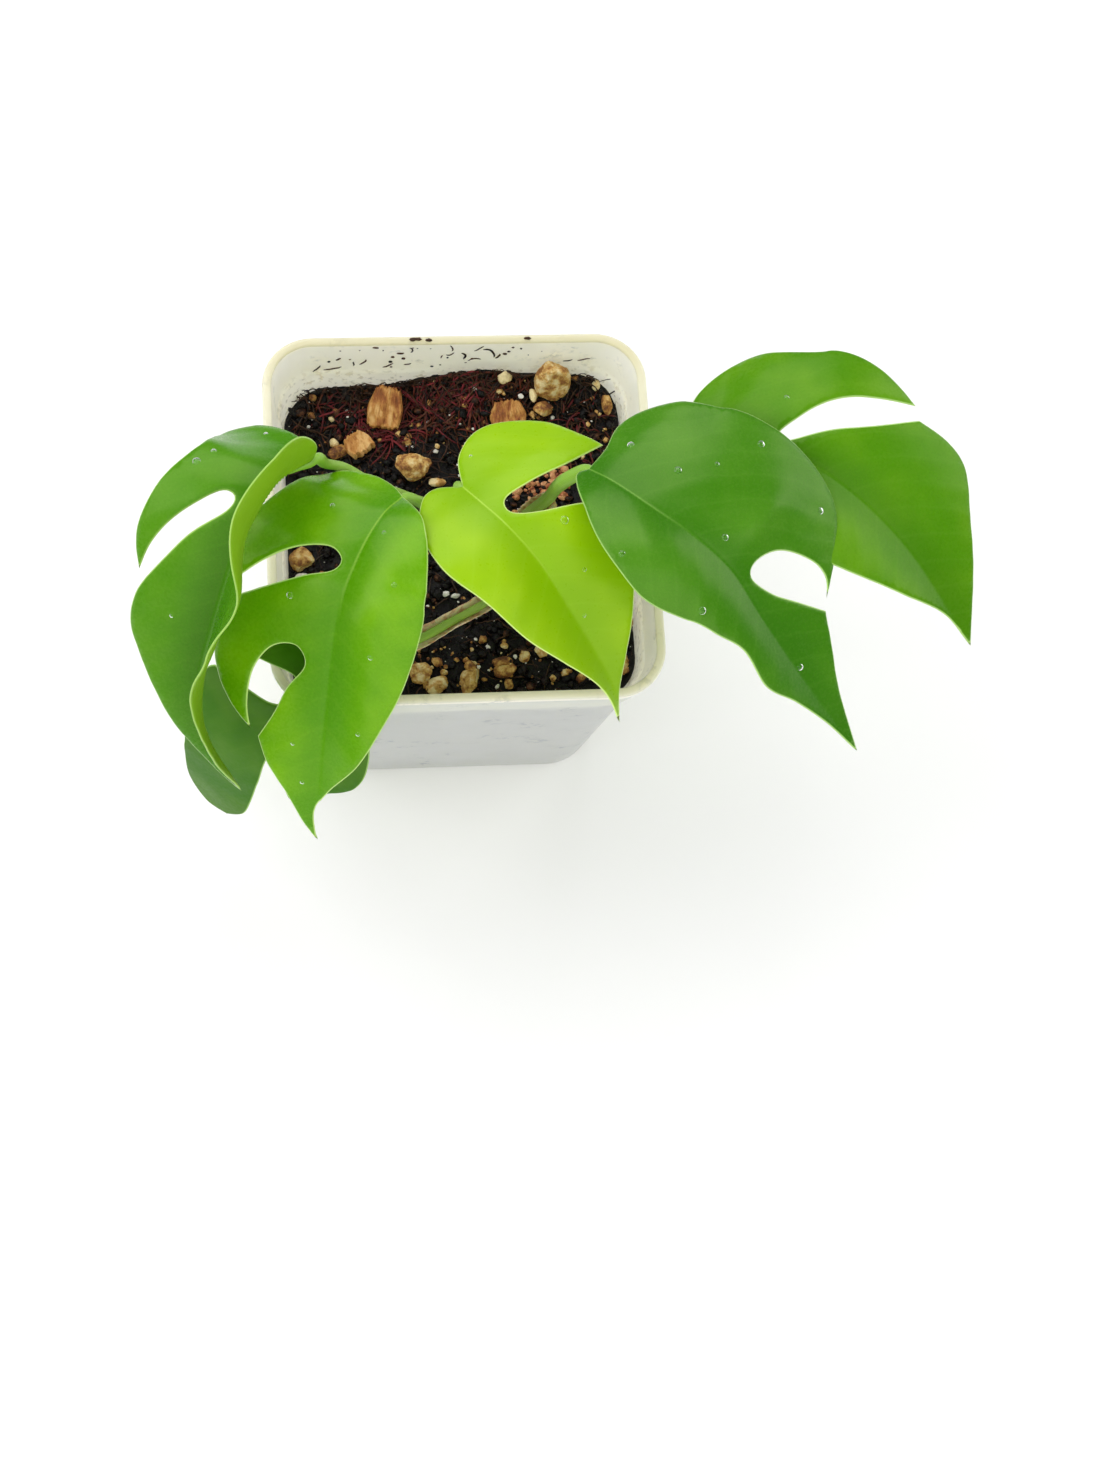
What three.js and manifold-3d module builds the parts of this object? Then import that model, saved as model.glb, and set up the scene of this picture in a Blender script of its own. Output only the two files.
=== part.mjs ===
// A potted Rhaphidophora tetrasperma: six split leaves on one short stem, in a square
// nursery pot of soil, stones and bark. Millimetres, +Z up, the origin under the middle
// of the pot's base, the pot's front wall towards -Y.

import * as THREE from 'three';
import { TessellateModifier } from 'three/addons/modifiers/TessellateModifier.js';
import { mergeVertices } from 'three/addons/utils/BufferGeometryUtils.js';
import Module from 'manifold-3d';

const wasm = await Module();
wasm.setup();

// Driving dimensions
const GAP = 0.3; // clearance between two pieces that touch on the real plant
const POT = {
	height: 85, rimHalf: 45, baseHalf: 37, // half the outer width at the rim and at the base
	wall: 1.2, floor: 1.6, rimCorner: 11.9, baseCorner: 12.8, // corner radii, seen from above
	lipHeight: 2, lipWidth: 2.1, lipOverhang: 1.1, // the flat rim and how far it stands out
	shoulder: 71, shoulderRise: 2, shoulderStep: 1.1, // the step between body and upper band
	bandDraft: 0.5, ledge: 1.4, // lean of the upper band, and height of the ledge inside it
	lipRound: 0.6, mouthRound: 0.4, floorRound: 1.2, footChamfer: 0.8, // rounding of the edges
	drainRadius: 3.2, drainReach: 22, drainSides: 24, cornerSteps: 6,
};
const SOIL = { level: 67, rise: 7, dip: 1.8, rings: 8 }; // mean height, heap and hollow
const BLADE = { thickness: 0.9, edge: 8, curveSteps: 3, feel: 0.2 }; // edge: its longest facet edge
const STEM = { bottom: 60, radius: 2.7, top: 2.2, nodeSwell: 0.5, nodeLength: 0.035, sides: 12, steps: 26 };
const SHEATH = { thickness: 0.6, steps: 9, arcSteps: 6, clearance: 1.8 * GAP };
const PETIOLE = { sides: 8, step: 4.5, seat: 1.6 }; // seat: how far it runs in under the blade

// The stem leans back to the left as it climbs
const STEM_LINE = [
	[14.5, -11, STEM.bottom], [12.5, -10.5, 75], [9.5, -9.5, 88], [7, -9, 97], [5, -9, 105],
];

// One entry for each leaf. rib: the midrib, from the notch to the tip. heading: its compass
// direction in degrees from +X. roll, fold and curl are [place along the rib 0..1, value]:
// roll lifts the left half, fold lifts a half at the midrib, and curl is its bending in
// degrees per millimetre, up where positive. runs: the flat outline as smooth runs that meet
// in corners, each point [along the rib, to the left of it]; a split is two of its runs.
const LEAVES = [
	{
		name: 'far_left', heading: -107, colour: 0x3f7d2a,
		rib: [[-34, -1, 124], [-43, -9.5, 130], [-50, -19.5, 126.5], [-55.5, -30.5, 114],
			[-61, -44.5, 95], [-59.5, -52.5, 84], [-53, -61, 73]],
		roll: [[0, 8], [1, 8]],
		left: {
			fold: [[0, 50], [0.1, 58], [0.22, 66], [0.36, 38], [0.5, 52], [0.61, 60], [0.8, 44], [1, 54]],
			curl: [[0, 3], [1, 3]],
		},
		right: { fold: [[0, 14], [1, 8]], curl: [[0, -1.4], [1, -0.9]] },
		runs: [
			[[0, 0], [-2.5, -3.5], [-4, -9], [-4.5, -15], [-1, -20.5], [8, -20.5], [18, -19.5], [26, -21],
				[36, -22], [43.5, -18.5]],
			[[43.5, -18.5], [37, -17.5], [31, -15.2], [25, -11.3], [20.5, -7.5], [20.5, -4.6], [24, -5],
				[31, -10], [38, -13.5], [44.5, -16.5]],
			[[44.5, -16.5], [50, -18], [57, -17.5], [64, -13.5], [73, -8], [84, -3.5], [92, -1.7], [98.2, 0]],
			[[98.2, 0], [88, 4.5], [76, 9], [62, 12.5], [47, 14.8], [32, 15.5], [18, 14], [9, 10.5], [3, 6],
				[0, 0]],
		],
		petiole: {
			node: 0.72, side: 178, radius: 1.5, neck: 1.05,
			via: [[-5, -6.2, 103.5], [-13.2, -4.3, 107], [-21.5, -1, 108.6], [-27, 2.3, 108.9], [-31.4, 1.3, 114.2]],
		},
	},
	{
		name: 'front_left', heading: -107.5, colour: 0x62a011,
		rib: [[-15, -8, 117], [-20, -13.5, 119.5], [-26, -23, 119], [-30, -33, 115], [-33.5, -52.5, 99],
			[-35, -63, 88], [-36, -74, 75]],
		roll: [[0, 5], [1, 3]],
		left: { fold: [[0, 14], [1, 8]], curl: [[0, -1.4], [1, -0.8]] },
		right: { fold: [[0, 6], [0.5, 2], [1, 8]], curl: [[0, -1.6], [1, -1]] },
		runs: [
			[[0, 0], [-1.5, -4], [-1.5, -10], [1.5, -18.5], [8, -22], [17, -26], [25, -27.5], [31, -25.5]],
			[[31, -25.5], [26, -20], [21, -13], [18.5, -6.5], [20, -3], [23, -4], [26, -10], [33, -23]],
			[[33, -23], [38, -25], [46, -28.5], [53, -26.5], [59, -22], [63, -17]],
			[[63, -17], [57, -18.5], [49, -18], [42.5, -14], [41, -8.5], [45, -6], [51, -9.5], [58, -12],
				[64.5, -15]],
			[[64.5, -15], [70, -12.5], [77, -7.5], [84, -3.5], [88.6, 0]],
			[[88.6, 0], [81, -0.8], [75, 2], [66, 8.5], [56, 13], [45, 17], [32, 19], [22, 18], [12, 14.5],
				[4, 8.5], [0, 0]],
		],
		petiole: {
			node: 0.9, side: 200, radius: 1.3, neck: 1, via: [[-3, -8.8, 107.5], [-9.5, -8.5, 112.5]],
		},
	},
	{
		name: 'low', heading: -119, colour: 0x467f26,
		rib: [[-27.5, -37, 92], [-32, -41.5, 94], [-36.5, -46.5, 88.5], [-39, -50, 77], [-40, -54, 64.5],
			[-39, -57.5, 52], [-38, -59.5, 42]],
		roll: [[0, 0], [1, -6]],
		left: { fold: [[0, 8], [1, 8]], curl: [[0, -0.9], [1, -0.9]] },
		right: { fold: [[0, 2], [1, 6]], curl: [[0, -0.9], [1, -0.9]] },
		runs: [
			[[0, 0], [-2, -4], [0, -10], [4, -16], [9, -19.5], [13.5, -20]],
			[[13.5, -20], [12, -12.5], [11, -6.5], [13.5, -3.5], [18, -5], [20.5, -9], [20.5, -16], [21, -24]],
			[[21, -24], [32, -28], [44, -30], [57, -32], [68, -31], [72.5, -27], [70.5, -20]],
			[[70.5, -20], [62, -15], [52, -11.5], [38, -6], [41, -3.5], [50, -4], [56, -3.5]],
			[[56, -3.5], [60, -2], [63, 0]],
			[[63, 0], [56, 6], [49, 10.5], [41, 14], [31, 16.5], [20, 16.5], [10, 13.5], [3, 8], [-1, 3], [0, 0]],
		],
		petiole: {
			node: 0.26, side: 222, radius: 1.8, neck: 1.2,
			via: [[4.5, -19.5, 78.5], [-4, -25.5, 83], [-12.5, -31, 87]],
		},
	},
	{
		name: 'young', heading: -53, colour: 0x9ccc2a,
		rib: [[-2, -6, 117], [2, -11, 119.5], [7.5, -17, 120.5], [14, -24.5, 118.5], [20.5, -33.5, 113],
			[26.5, -41.5, 106], [31, -48, 98], [33, -53, 90]],
		roll: [[0, 0], [1, 0]],
		left: { fold: [[0, 12], [1, 10]], curl: [[0, -1.2], [1, -0.8]] },
		right: { fold: [[0, 12], [1, 10]], curl: [[0, -1.2], [1, -0.8]] },
		runs: [
			[[0, 0], [-3.5, -4.5], [-3, -9], [3, -14.5], [12, -17.5], [22, -16], [35, -13], [46, -8], [57, -3],
				[70.8, 0]],
			[[70.8, 0], [62, 1.2], [54, 6], [44, 13.5], [34, 20], [26, 24]],
			[[26, 24], [21, 15], [17, 7.5], [13, 2.8], [10, 4], [11, 10], [13.5, 20], [15, 30]],
			[[15, 30], [9, 28.5], [1, 26.5], [-6, 19], [-9, 12], [-6.5, 4.5], [0, 0]],
		],
		petiole: { node: 1, side: 90, radius: 1.4, neck: 1.1, via: [[3.8, -9, 108.2]] },
	},
	{
		name: 'right', heading: -42.5, colour: 0x4a8a24,
		rib: [[24.5, -6.5, 127], [29, -10.5, 130], [36.5, -17, 132], [45.5, -23.5, 131], [54, -30.5, 127],
			[61.5, -39.5, 120], [71.5, -49.5, 109], [85.5, -62, 93]],
		roll: [[0, 0], [1, 0]],
		left: { fold: [[0, 10], [1, 12]], curl: [[0, -1], [1, -0.8]] },
		right: { fold: [[0, 10], [1, 10]], curl: [[0, -1.2], [1, -1]] },
		runs: [
			[[0, 0], [0, 6], [-1.5, 13], [2, 21], [9, 27], [20, 30.5], [32, 32.5], [44, 31], [55, 24], [61.5, 15.5]],
			[[61.5, 15.5], [57, 18.3], [50, 17], [44, 12.5], [42, 6], [44, 2.8], [50, 5], [57, 9.5], [63.5, 13.5]],
			[[63.5, 13.5], [72, 9.5], [82, 4.5], [95.9, 0]],
			[[95.9, 0], [84, -2], [73, -5.5], [64, -9.5], [54, -9], [47, -12.5], [37, -16.5], [26, -18.5],
				[15, -14.5], [5, -8], [-1, -3], [0, 0]],
		],
		petiole: {
			node: 0.6, side: 35, radius: 1.8, neck: 1.2, via: [[13.2, -6.3, 98.5], [17, -6.3, 109], [19.5, -6, 118]],
		},
	},
	{
		name: 'far_right', heading: -36.5, colour: 0x4f8f18,
		rib: [[53, 6, 116], [59.5, 4, 119], [68.5, -0.5, 120.5], [78.5, -5.5, 119.5], [90, -14, 115],
			[101, -24.5, 108], [113.5, -38.5, 95]],
		roll: [[0, 0], [1, 0]],
		left: { fold: [[0, 10], [1, 10]], curl: [[0, -1], [1, -0.8]] },
		right: { fold: [[0, 10], [1, 10]], curl: [[0, -1], [1, -0.8]] },
		runs: [
			[[0, 0], [-5, 3], [-4.5, 10], [2, 19], [13, 25.5], [25, 29.5], [37, 26.5]],
			[[37, 26.5], [28, 20], [20, 11.5], [15.5, 4.5], [16.5, 2.2], [23, 7], [32, 15.5], [39, 24]],
			[[39, 24], [46, 25.3], [52, 24], [60, 17], [70, 10], [83.6, 0]],
			[[83.6, 0], [73, -1.5], [60, -9], [46, -15.5], [32, -19], [18, -18.5], [6, -14], [-2, -7], [0, 0]],
		],
		petiole: {
			node: 0.45, side: 15, radius: 1.7, neck: 1.2,
			via: [[20.5, -7, 93], [29, -5, 102], [38, -1, 109]],
		},
	},
];

// Papery sheaths that wrap the lower part of two petioles from below
const SHEATHS = [
	{ leaf: 'low', from: 0.1, to: 0.62, spread: 105, colour: 0xb79a6a },
	{ leaf: 'right', from: 0.2, to: 0.44, spread: 95, colour: 0xc9a77c },
];

// Stones and bark on the soil: where each lies, its three radii, its turn and its tilt
const STONES = [
	{ name: 'back', at: [24, 37.6, 74.6], radii: [4, 3, 5], turn: 0, tilt: -27 },
	{ name: 'left_middle', at: [-10, 18.7, 69.5], radii: [4.2, 3.4, 2.8], turn: -10 },
	{ name: 'left_edge', at: [-37, -3.4, 66.4], radii: [2.6, 3, 2.4], turn: 30 },
	{ name: 'right_edge', at: [37.8, -21.6, 68.3], radii: [2.1, 3.6, 2.4], turn: 10 },
	{ name: 'right_front', at: [36.3, -31, 67.8], radii: [2.5, 2, 2], turn: 30 },
	{ name: 'front_left', at: [-10.3, -32.1, 67.6], radii: [2.8, 2.7, 2.2], turn: 60 },
	{ name: 'front_middle', at: [1, -34.6, 68], radii: [2.2, 3.3, 2.2], turn: -15 },
	{ name: 'front_right', at: [9.4, -32.4, 67.6], radii: [2.6, 1.7, 1.8], turn: 15 },
];
const BARK = [
	{ name: 'large', at: [-16, 33.2, 70.6], radii: [4.2, 5.2, 1.5], turn: -12, tilt: 24 },
	{ name: 'left', at: [-22.8, 25.2, 67.6], radii: [3.4, 3.2, 1.2], turn: 35, tilt: -16 },
	{ name: 'middle', at: [13.2, 31, 70.4], radii: [4.4, 3.4, 1.3], turn: 5, tilt: 16 },
];

const group = new THREE.Group();

function add(name, geometry, colour, roughness = 0.6) {
	const mesh = new THREE.Mesh(
		geometry, new THREE.MeshStandardMaterial({ color: colour, roughness, metalness: 0 }));
	mesh.name = name;
	group.add(mesh);
	return mesh;
}

const vector = (point) => new THREE.Vector3(...point);
const radians = THREE.MathUtils.degToRad;

// Value between [place, value] keys, eased from key to key
function between(keys, place) {
	const last = keys.findIndex(([at]) => at >= place);
	if (last === 0) return keys[0][1];
	if (last < 0) return keys[keys.length - 1][1];
	const [[from, low], [to, high]] = [keys[last - 1], keys[last]];
	return THREE.MathUtils.lerp(low, high, THREE.MathUtils.smoothstep(place, from, to));
}

// Closed body through rings of points, with both ends capped by triangulating their outlines
function loft(rings, startOutline, endOutline) {
	const sides = rings[0].length;
	const index = [];
	for (let ring = 0; ring < rings.length - 1; ring++) {
		for (let side = 0; side < sides; side++) {
			const next = (side + 1) % sides;
			const [a, b] = [ring * sides + side, ring * sides + next];
			index.push(a, b, b + sides, a, b + sides, a + sides);
		}
	}
	const end = (rings.length - 1) * sides;
	for (const [a, b, c] of THREE.ShapeUtils.triangulateShape(startOutline, [])) index.push(a, c, b);
	for (const [a, b, c] of THREE.ShapeUtils.triangulateShape(endOutline, [])) {
		index.push(end + a, end + b, end + c);
	}
	const geometry = new THREE.BufferGeometry().setFromPoints(rings.flat());
	geometry.setIndex(index);
	geometry.computeVertexNormals();
	return geometry;
}

// Body swept along a curve. section(place) gives its outline there, x sideways and y upwards;
// reference is a direction that the curve never takes, and it fixes which way is up
function sweep(curve, steps, reference, section) {
	const rings = [];
	for (let step = 0; step <= steps; step++) {
		const place = step / steps;
		const centre = curve.getPointAt(place);
		const tangent = curve.getTangentAt(place);
		const side = new THREE.Vector3().crossVectors(reference, tangent).normalize();
		const up = new THREE.Vector3().crossVectors(tangent, side);
		rings.push(section(place).map(({ x, y }) => centre.clone()
			.addScaledVector(side, x).addScaledVector(up, y)));
	}
	return loft(rings, section(0), section(1));
}

const circle = (radius, sides) => Array.from({ length: sides }, (_, side) => {
	const angle = 2 * Math.PI * side / sides;
	return new THREE.Vector2(radius * Math.cos(angle), radius * Math.sin(angle));
});

function solid(geometry) {
	const bare = geometry.clone();
	bare.deleteAttribute('normal');
	bare.deleteAttribute('uv');
	const merged = mergeVertices(bare, 1e-4);
	return new wasm.Manifold(new wasm.Mesh({
		numProp: 3,
		vertProperties: new Float32Array(merged.attributes.position.array),
		triVerts: new Uint32Array(merged.index.array),
	}));
}

function fromSolid(manifold) {
	const mesh = manifold.getMesh();
	const geometry = new THREE.BufferGeometry();
	geometry.setAttribute('position', new THREE.BufferAttribute(mesh.vertProperties, 3));
	geometry.setIndex(new THREE.BufferAttribute(mesh.triVerts, 1));
	geometry.computeVertexNormals();
	return geometry;
}

// Pot

// Rounded square seen from above, anticlockwise
function roundedSquare(half, corner) {
	const points = [];
	const steps = POT.cornerSteps;
	for (let quarter = 0; quarter < 4; quarter++) {
		for (let step = 0; step <= steps; step++) {
			const angle = Math.PI / 2 * (quarter + step / steps);
			const [x, y] = [[1, 1], [-1, 1], [-1, -1], [1, -1]][quarter];
			points.push(new THREE.Vector2(
				x * (half - corner) + corner * Math.cos(angle),
				y * (half - corner) + corner * Math.sin(angle)));
		}
	}
	return points;
}

const cornerAt = (z, inset) => THREE.MathUtils.lerp(POT.baseCorner, POT.rimCorner, z / POT.height) - inset;
const bodyTop = POT.rimHalf - POT.lipOverhang - POT.bandDraft - POT.shoulderStep;
const bodyHalf = (z) => THREE.MathUtils.lerp(POT.baseHalf, bodyTop, z / POT.shoulder);

function squareRing({ z, half, inset }) {
	return roundedSquare(half, cornerAt(z, inset)).map(({ x, y }) => new THREE.Vector3(x, y, z));
}

// Inside faces of the body, from the floor up to just under the shoulder
const bodyInside = [
	{ z: POT.floor, half: bodyHalf(0) - POT.wall - POT.floorRound, inset: POT.wall + POT.floorRound },
	{ z: POT.floor + POT.floorRound, half: bodyHalf(POT.floor) - POT.wall, inset: POT.wall },
	{ z: POT.shoulder - 1, half: bodyHalf(POT.shoulder - 1) - POT.wall, inset: POT.wall },
];

function potGeometry() {
	const bandBottom = POT.shoulder + POT.shoulderRise;
	const bandHalf = POT.rimHalf - POT.lipOverhang;
	const lipBottom = POT.height - POT.lipHeight;
	const mouth = POT.rimHalf - POT.lipWidth;
	const profile = [
		{ z: 0, half: POT.baseHalf - POT.footChamfer, inset: POT.footChamfer },
		{ z: POT.footChamfer, half: POT.baseHalf, inset: 0 },
		{ z: POT.shoulder, half: bodyTop, inset: 0 },
		{ z: bandBottom, half: bandHalf - POT.bandDraft, inset: 0 },
		{ z: lipBottom - POT.lipRound, half: bandHalf, inset: 0 },
		{ z: lipBottom, half: POT.rimHalf, inset: 0 },
		{ z: POT.height - POT.lipRound, half: POT.rimHalf, inset: 0 },
		{ z: POT.height, half: POT.rimHalf - POT.lipRound, inset: POT.lipRound },
		{ z: POT.height, half: mouth + POT.mouthRound, inset: POT.lipWidth - POT.mouthRound },
		{ z: POT.height - POT.mouthRound, half: mouth, inset: POT.lipWidth },
		{ z: bandBottom + POT.ledge, half: mouth - POT.bandDraft, inset: POT.lipWidth },
		{ z: bandBottom, half: bodyTop - POT.wall, inset: POT.lipWidth },
		...bodyInside.toReversed(),
	];
	const outline = (station) => roundedSquare(station.half, cornerAt(station.z, station.inset));
	let pot = solid(loft(profile.map(squareRing), outline(profile[0]), outline(profile.at(-1))));
	for (const [x, y] of [[1, 1], [-1, 1], [-1, -1], [1, -1]]) {
		const drain = new THREE.CylinderGeometry(
			POT.drainRadius, POT.drainRadius, 4 * POT.floor, POT.drainSides);
		drain.rotateX(Math.PI / 2).translate(x * POT.drainReach, y * POT.drainReach, POT.floor / 2);
		pot = pot.subtract(solid(drain));
	}
	return fromSolid(pot);
}

add('pot', potGeometry(), 0xdcdcd2, 0.45);

// Stem and leaf blades

const stemCurve = new THREE.CatmullRomCurve3(STEM_LINE.map(vector), false, 'catmullrom');
const stemNodes = LEAVES.map(({ petiole }) => petiole.node);
const stemRadius = (place) => THREE.MathUtils.lerp(STEM.radius, STEM.top, place)
	+ STEM.nodeSwell * Math.max(...stemNodes.map((node) => Math.exp(-(((place - node) / STEM.nodeLength) ** 2))));
const NORTH = new THREE.Vector3(0, 1, 0);
const stemGeometry = (grow = 0) => sweep(
	stemCurve, STEM.steps, NORTH, (place) => circle(stemRadius(place) + grow, STEM.sides));

add('stem', stemGeometry(), 0x7a9a4a, 0.6);

// The rib's point and direction a distance along it, straight on beyond both ends
function ribAt(leaf, along) {
	const length = leaf.curve.getLength();
	const place = THREE.MathUtils.clamp(along / length, 0, 1);
	const tangent = leaf.curve.getTangentAt(place);
	const point = leaf.curve.getPointAt(place).addScaledVector(tangent, along - place * length);
	return { place, point, tangent };
}

// Directions across the rib: towards the left half, and up out of the upper face
function acrossRib(leaf, place, tangent) {
	const angle = radians(leaf.heading);
	const left = new THREE.Vector3(-Math.sin(angle), Math.cos(angle), 0);
	left.addScaledVector(tangent, -left.dot(tangent)).normalize();
	const roll = radians(between(leaf.roll, place));
	left.applyAxisAngle(tangent, roll);
	return { left, up: new THREE.Vector3().crossVectors(tangent, left) };
}

// A point of the blade's middle surface: along the rib, then out over the folded, curled half
function bladePoint(leaf, along, across) {
	const { place, point, tangent } = ribAt(leaf, along);
	const { left, up } = acrossRib(leaf, place, tangent);
	const half = across >= 0 ? leaf.left : leaf.right;
	const fold = radians(between(half.fold, place));
	const curl = radians(between(half.curl, place));
	const end = fold + curl * Math.abs(across);
	const sideways = (Math.sin(end) - Math.sin(fold)) / curl;
	return point.addScaledVector(left, Math.sign(across) * sideways)
		.addScaledVector(up, (Math.cos(fold) - Math.cos(end)) / curl);
}

// Flat plate of the outline, faceted finely enough to bend, then bent on to the surface
function bladeGeometry(leaf) {
	const shape = new THREE.Shape();
	shape.moveTo(0, 0);
	for (const run of leaf.runs) shape.splineThru(run.slice(1).map(([x, y]) => new THREE.Vector2(x, y)));
	const plate = new THREE.ExtrudeGeometry(
		shape, { depth: BLADE.thickness, bevelEnabled: false, curveSegments: BLADE.curveSteps });
	const flat = solid(new TessellateModifier(BLADE.edge, 10).modify(plate));
	const geometry = fromSolid(flat);
	const position = geometry.attributes.position;
	const reach = BLADE.feel; // how far the neighbours lie that give the surface its slope
	for (let i = 0; i < position.count; i++) {
		const [along, across] = [position.getX(i), position.getY(i)];
		const inward = across > 0 ? -reach : reach;
		const point = bladePoint(leaf, along, across);
		const lengthwise = bladePoint(leaf, along + reach, across).sub(point);
		const crosswise = bladePoint(leaf, along, across + inward).sub(point).multiplyScalar(Math.sign(inward));
		const normal = lengthwise.cross(crosswise).normalize();
		point.addScaledVector(normal, position.getZ(i) - BLADE.thickness / 2);
		position.setXYZ(i, point.x, point.y, point.z);
	}
	geometry.computeVertexNormals();
	return geometry;
}

for (const leaf of LEAVES) {
	leaf.curve = new THREE.CatmullRomCurve3(leaf.rib.map(vector), false, 'catmullrom');
	add(`leaf_${leaf.name}`, bladeGeometry(leaf), leaf.colour, 0.4);
}

// Petioles and sheaths

const UP = new THREE.Vector3(0, 0, 1);

// From the stem's side out to the underside of the blade, just past its notch
function petioleCurve(leaf) {
	const { node, side, radius, neck, via } = leaf.petiole;
	const stem = stemCurve.getPointAt(node);
	const grain = stemCurve.getTangentAt(node);
	const outward = new THREE.Vector3(Math.cos(radians(side)), Math.sin(radians(side)), 0)
		.projectOnPlane(grain).normalize();
	const lean = vector(via[0]).sub(stem).normalize().dot(outward);
	const clearance = stemRadius(node) + 1.2 * GAP + radius * Math.sqrt(1 - lean ** 2);
	const start = node === 1
		? stem.addScaledVector(grain, 1.5 * GAP)
		: stem.addScaledVector(outward, clearance);
	const under = (along) => {
		const { place, point, tangent } = ribAt(leaf, along);
		const { up } = acrossRib(leaf, place, tangent);
		return point.addScaledVector(up, -(BLADE.thickness / 2 + 2 * GAP + neck));
	};
	const points = [start, ...via.map(vector), under(-PETIOLE.seat), under(PETIOLE.seat)];
	return new THREE.CatmullRomCurve3(points, false, 'catmullrom');
}

const petioleRadius = ({ radius, neck }, place) => THREE.MathUtils.lerp(
	radius, neck, THREE.MathUtils.smoothstep(place, 0, 0.6));

for (const leaf of LEAVES) {
	leaf.petioleCurve = petioleCurve(leaf);
	const steps = Math.max(5, Math.round(leaf.petioleCurve.getLength() / PETIOLE.step));
	add(`petiole_${leaf.name}`, sweep(
		leaf.petioleCurve, steps, leaf.petiole.node === 1 ? NORTH : UP,
		(place) => circle(petioleRadius(leaf.petiole, place), PETIOLE.sides)), 0x7db04a, 0.5);
}

// Trough under a petiole, open at the top and clear of it by the gap
function sheathGeometry({ leaf: name, from, to, spread }) {
	const leaf = LEAVES.find((entry) => entry.name === name);
	const whole = leaf.petioleCurve;
	const points = Array.from({ length: 12 }, (_, i) => whole.getPointAt(THREE.MathUtils.lerp(from, to, i / 11)));
	const curve = new THREE.CatmullRomCurve3(points, false, 'catmullrom');
	const arc = (radius, direction) => Array.from({ length: SHEATH.arcSteps + 1 }, (_, i) => {
		const angle = radians(-90 + direction * spread * (2 * i / SHEATH.arcSteps - 1));
		return new THREE.Vector2(radius * Math.cos(angle), radius * Math.sin(angle));
	});
	return sweep(curve, SHEATH.steps, UP, (place) => {
		const inner = petioleRadius(leaf.petiole, THREE.MathUtils.lerp(from, to, place)) + SHEATH.clearance;
		return [...arc(inner + SHEATH.thickness, 1), ...arc(inner, -1)];
	});
}

for (const sheath of SHEATHS) add(`sheath_${sheath.leaf}`, sheathGeometry(sheath), sheath.colour, 0.8);

// Stones and bark

// Wavy swelling of a lump in a direction, the same for every size of it
const ripple = ({ x, y, z }, seed) => 1
	+ 0.09 * Math.sin(3.1 * x + 1.7 * seed) * Math.cos(2.7 * y - seed)
	+ 0.07 * Math.sin(4.3 * z + 2.3 * seed + 2 * x);

function lump(base, { at, radii, turn, tilt = 0 }, seed, grow) {
	base.deleteAttribute('normal');
	base.deleteAttribute('uv');
	const geometry = mergeVertices(base, 1e-4);
	const position = geometry.attributes.position;
	for (let i = 0; i < position.count; i++) {
		const point = new THREE.Vector3().fromBufferAttribute(position, i);
		point.multiplyScalar(ripple(point, seed));
		const direction = point.clone().normalize().multiplyScalar(grow);
		point.multiply(vector(radii)).add(direction);
		position.setXYZ(i, point.x, point.y, point.z);
	}
	geometry.rotateX(radians(tilt)).rotateZ(radians(turn)).translate(...at);
	geometry.computeVertexNormals();
	return geometry;
}

const stone = (spec, seed, grow = 0) => lump(new THREE.IcosahedronGeometry(1, 1), spec, seed, grow);
const chip = (spec, seed, grow = 0) => lump(new THREE.BoxGeometry(1.7, 1.7, 1.7, 3, 3, 2), spec, seed, grow);

STONES.forEach((spec, i) => add(`stone_${spec.name}`, stone(spec, i + 1), 0xc0a070, 0.9));
BARK.forEach((spec, i) => add(`bark_${spec.name}`, chip(spec, i + 1), 0xa8672f, 0.9));

// Soil

// Height of the soil: heaped against the back wall, lower along the left
const soilHeight = (x, y) => SOIL.level
	+ SOIL.rise * Math.exp(-(((x - 10) / 21) ** 2) - ((y - 43) / 12) ** 2)
	- SOIL.dip * Math.exp(-(((x + 34) / 14) ** 2) - ((y - 14) / 30) ** 2)
	+ 0.6 * Math.sin(0.21 * x + 1) * Math.cos(0.17 * y);

function soilGeometry() {
	const wallHalf = (z) => bodyHalf(z) - POT.wall - GAP;
	const rings = [
		squareRing({ z: POT.floor + GAP, half: bodyInside[0].half - GAP, inset: bodyInside[0].inset + GAP }),
		squareRing({ z: POT.floor + POT.floorRound + GAP, half: bodyInside[1].half - GAP, inset: POT.wall + GAP }),
	];
	const edge = squareRing({ z: SOIL.level, half: wallHalf(SOIL.level - SOIL.dip) - 0.1, inset: POT.wall + GAP });
	for (let ring = SOIL.rings; ring > 0; ring--) {
		const scale = ring / SOIL.rings;
		rings.push(edge.map(({ x, y }) => new THREE.Vector3(
			x * scale, y * scale, soilHeight(x * scale, y * scale))));
	}
	const flat = (ring) => ring.map(({ x, y }) => new THREE.Vector2(x, y));
	let soil = solid(loft(rings, flat(rings[0]), flat(rings.at(-1))));
	const pockets = [
		stemGeometry(GAP + 0.05).translate(0, 0, -GAP - 0.05),
		...STONES.map((spec, i) => stone(spec, i + 1, 1.5 * GAP)),
		...BARK.map((spec, i) => chip(spec, i + 1, 2.4 * GAP)),
	];
	for (const pocket of pockets) soil = soil.subtract(solid(pocket));
	// A pocket that cuts under the surface can free a crumb: only the main body is kept
	const pieces = soil.decompose().sort((a, b) => b.volume() - a.volume());
	return fromSolid(pieces[0]);
}

add('soil', soilGeometry(), 0x2a1a14, 1);

export default group;
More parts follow.
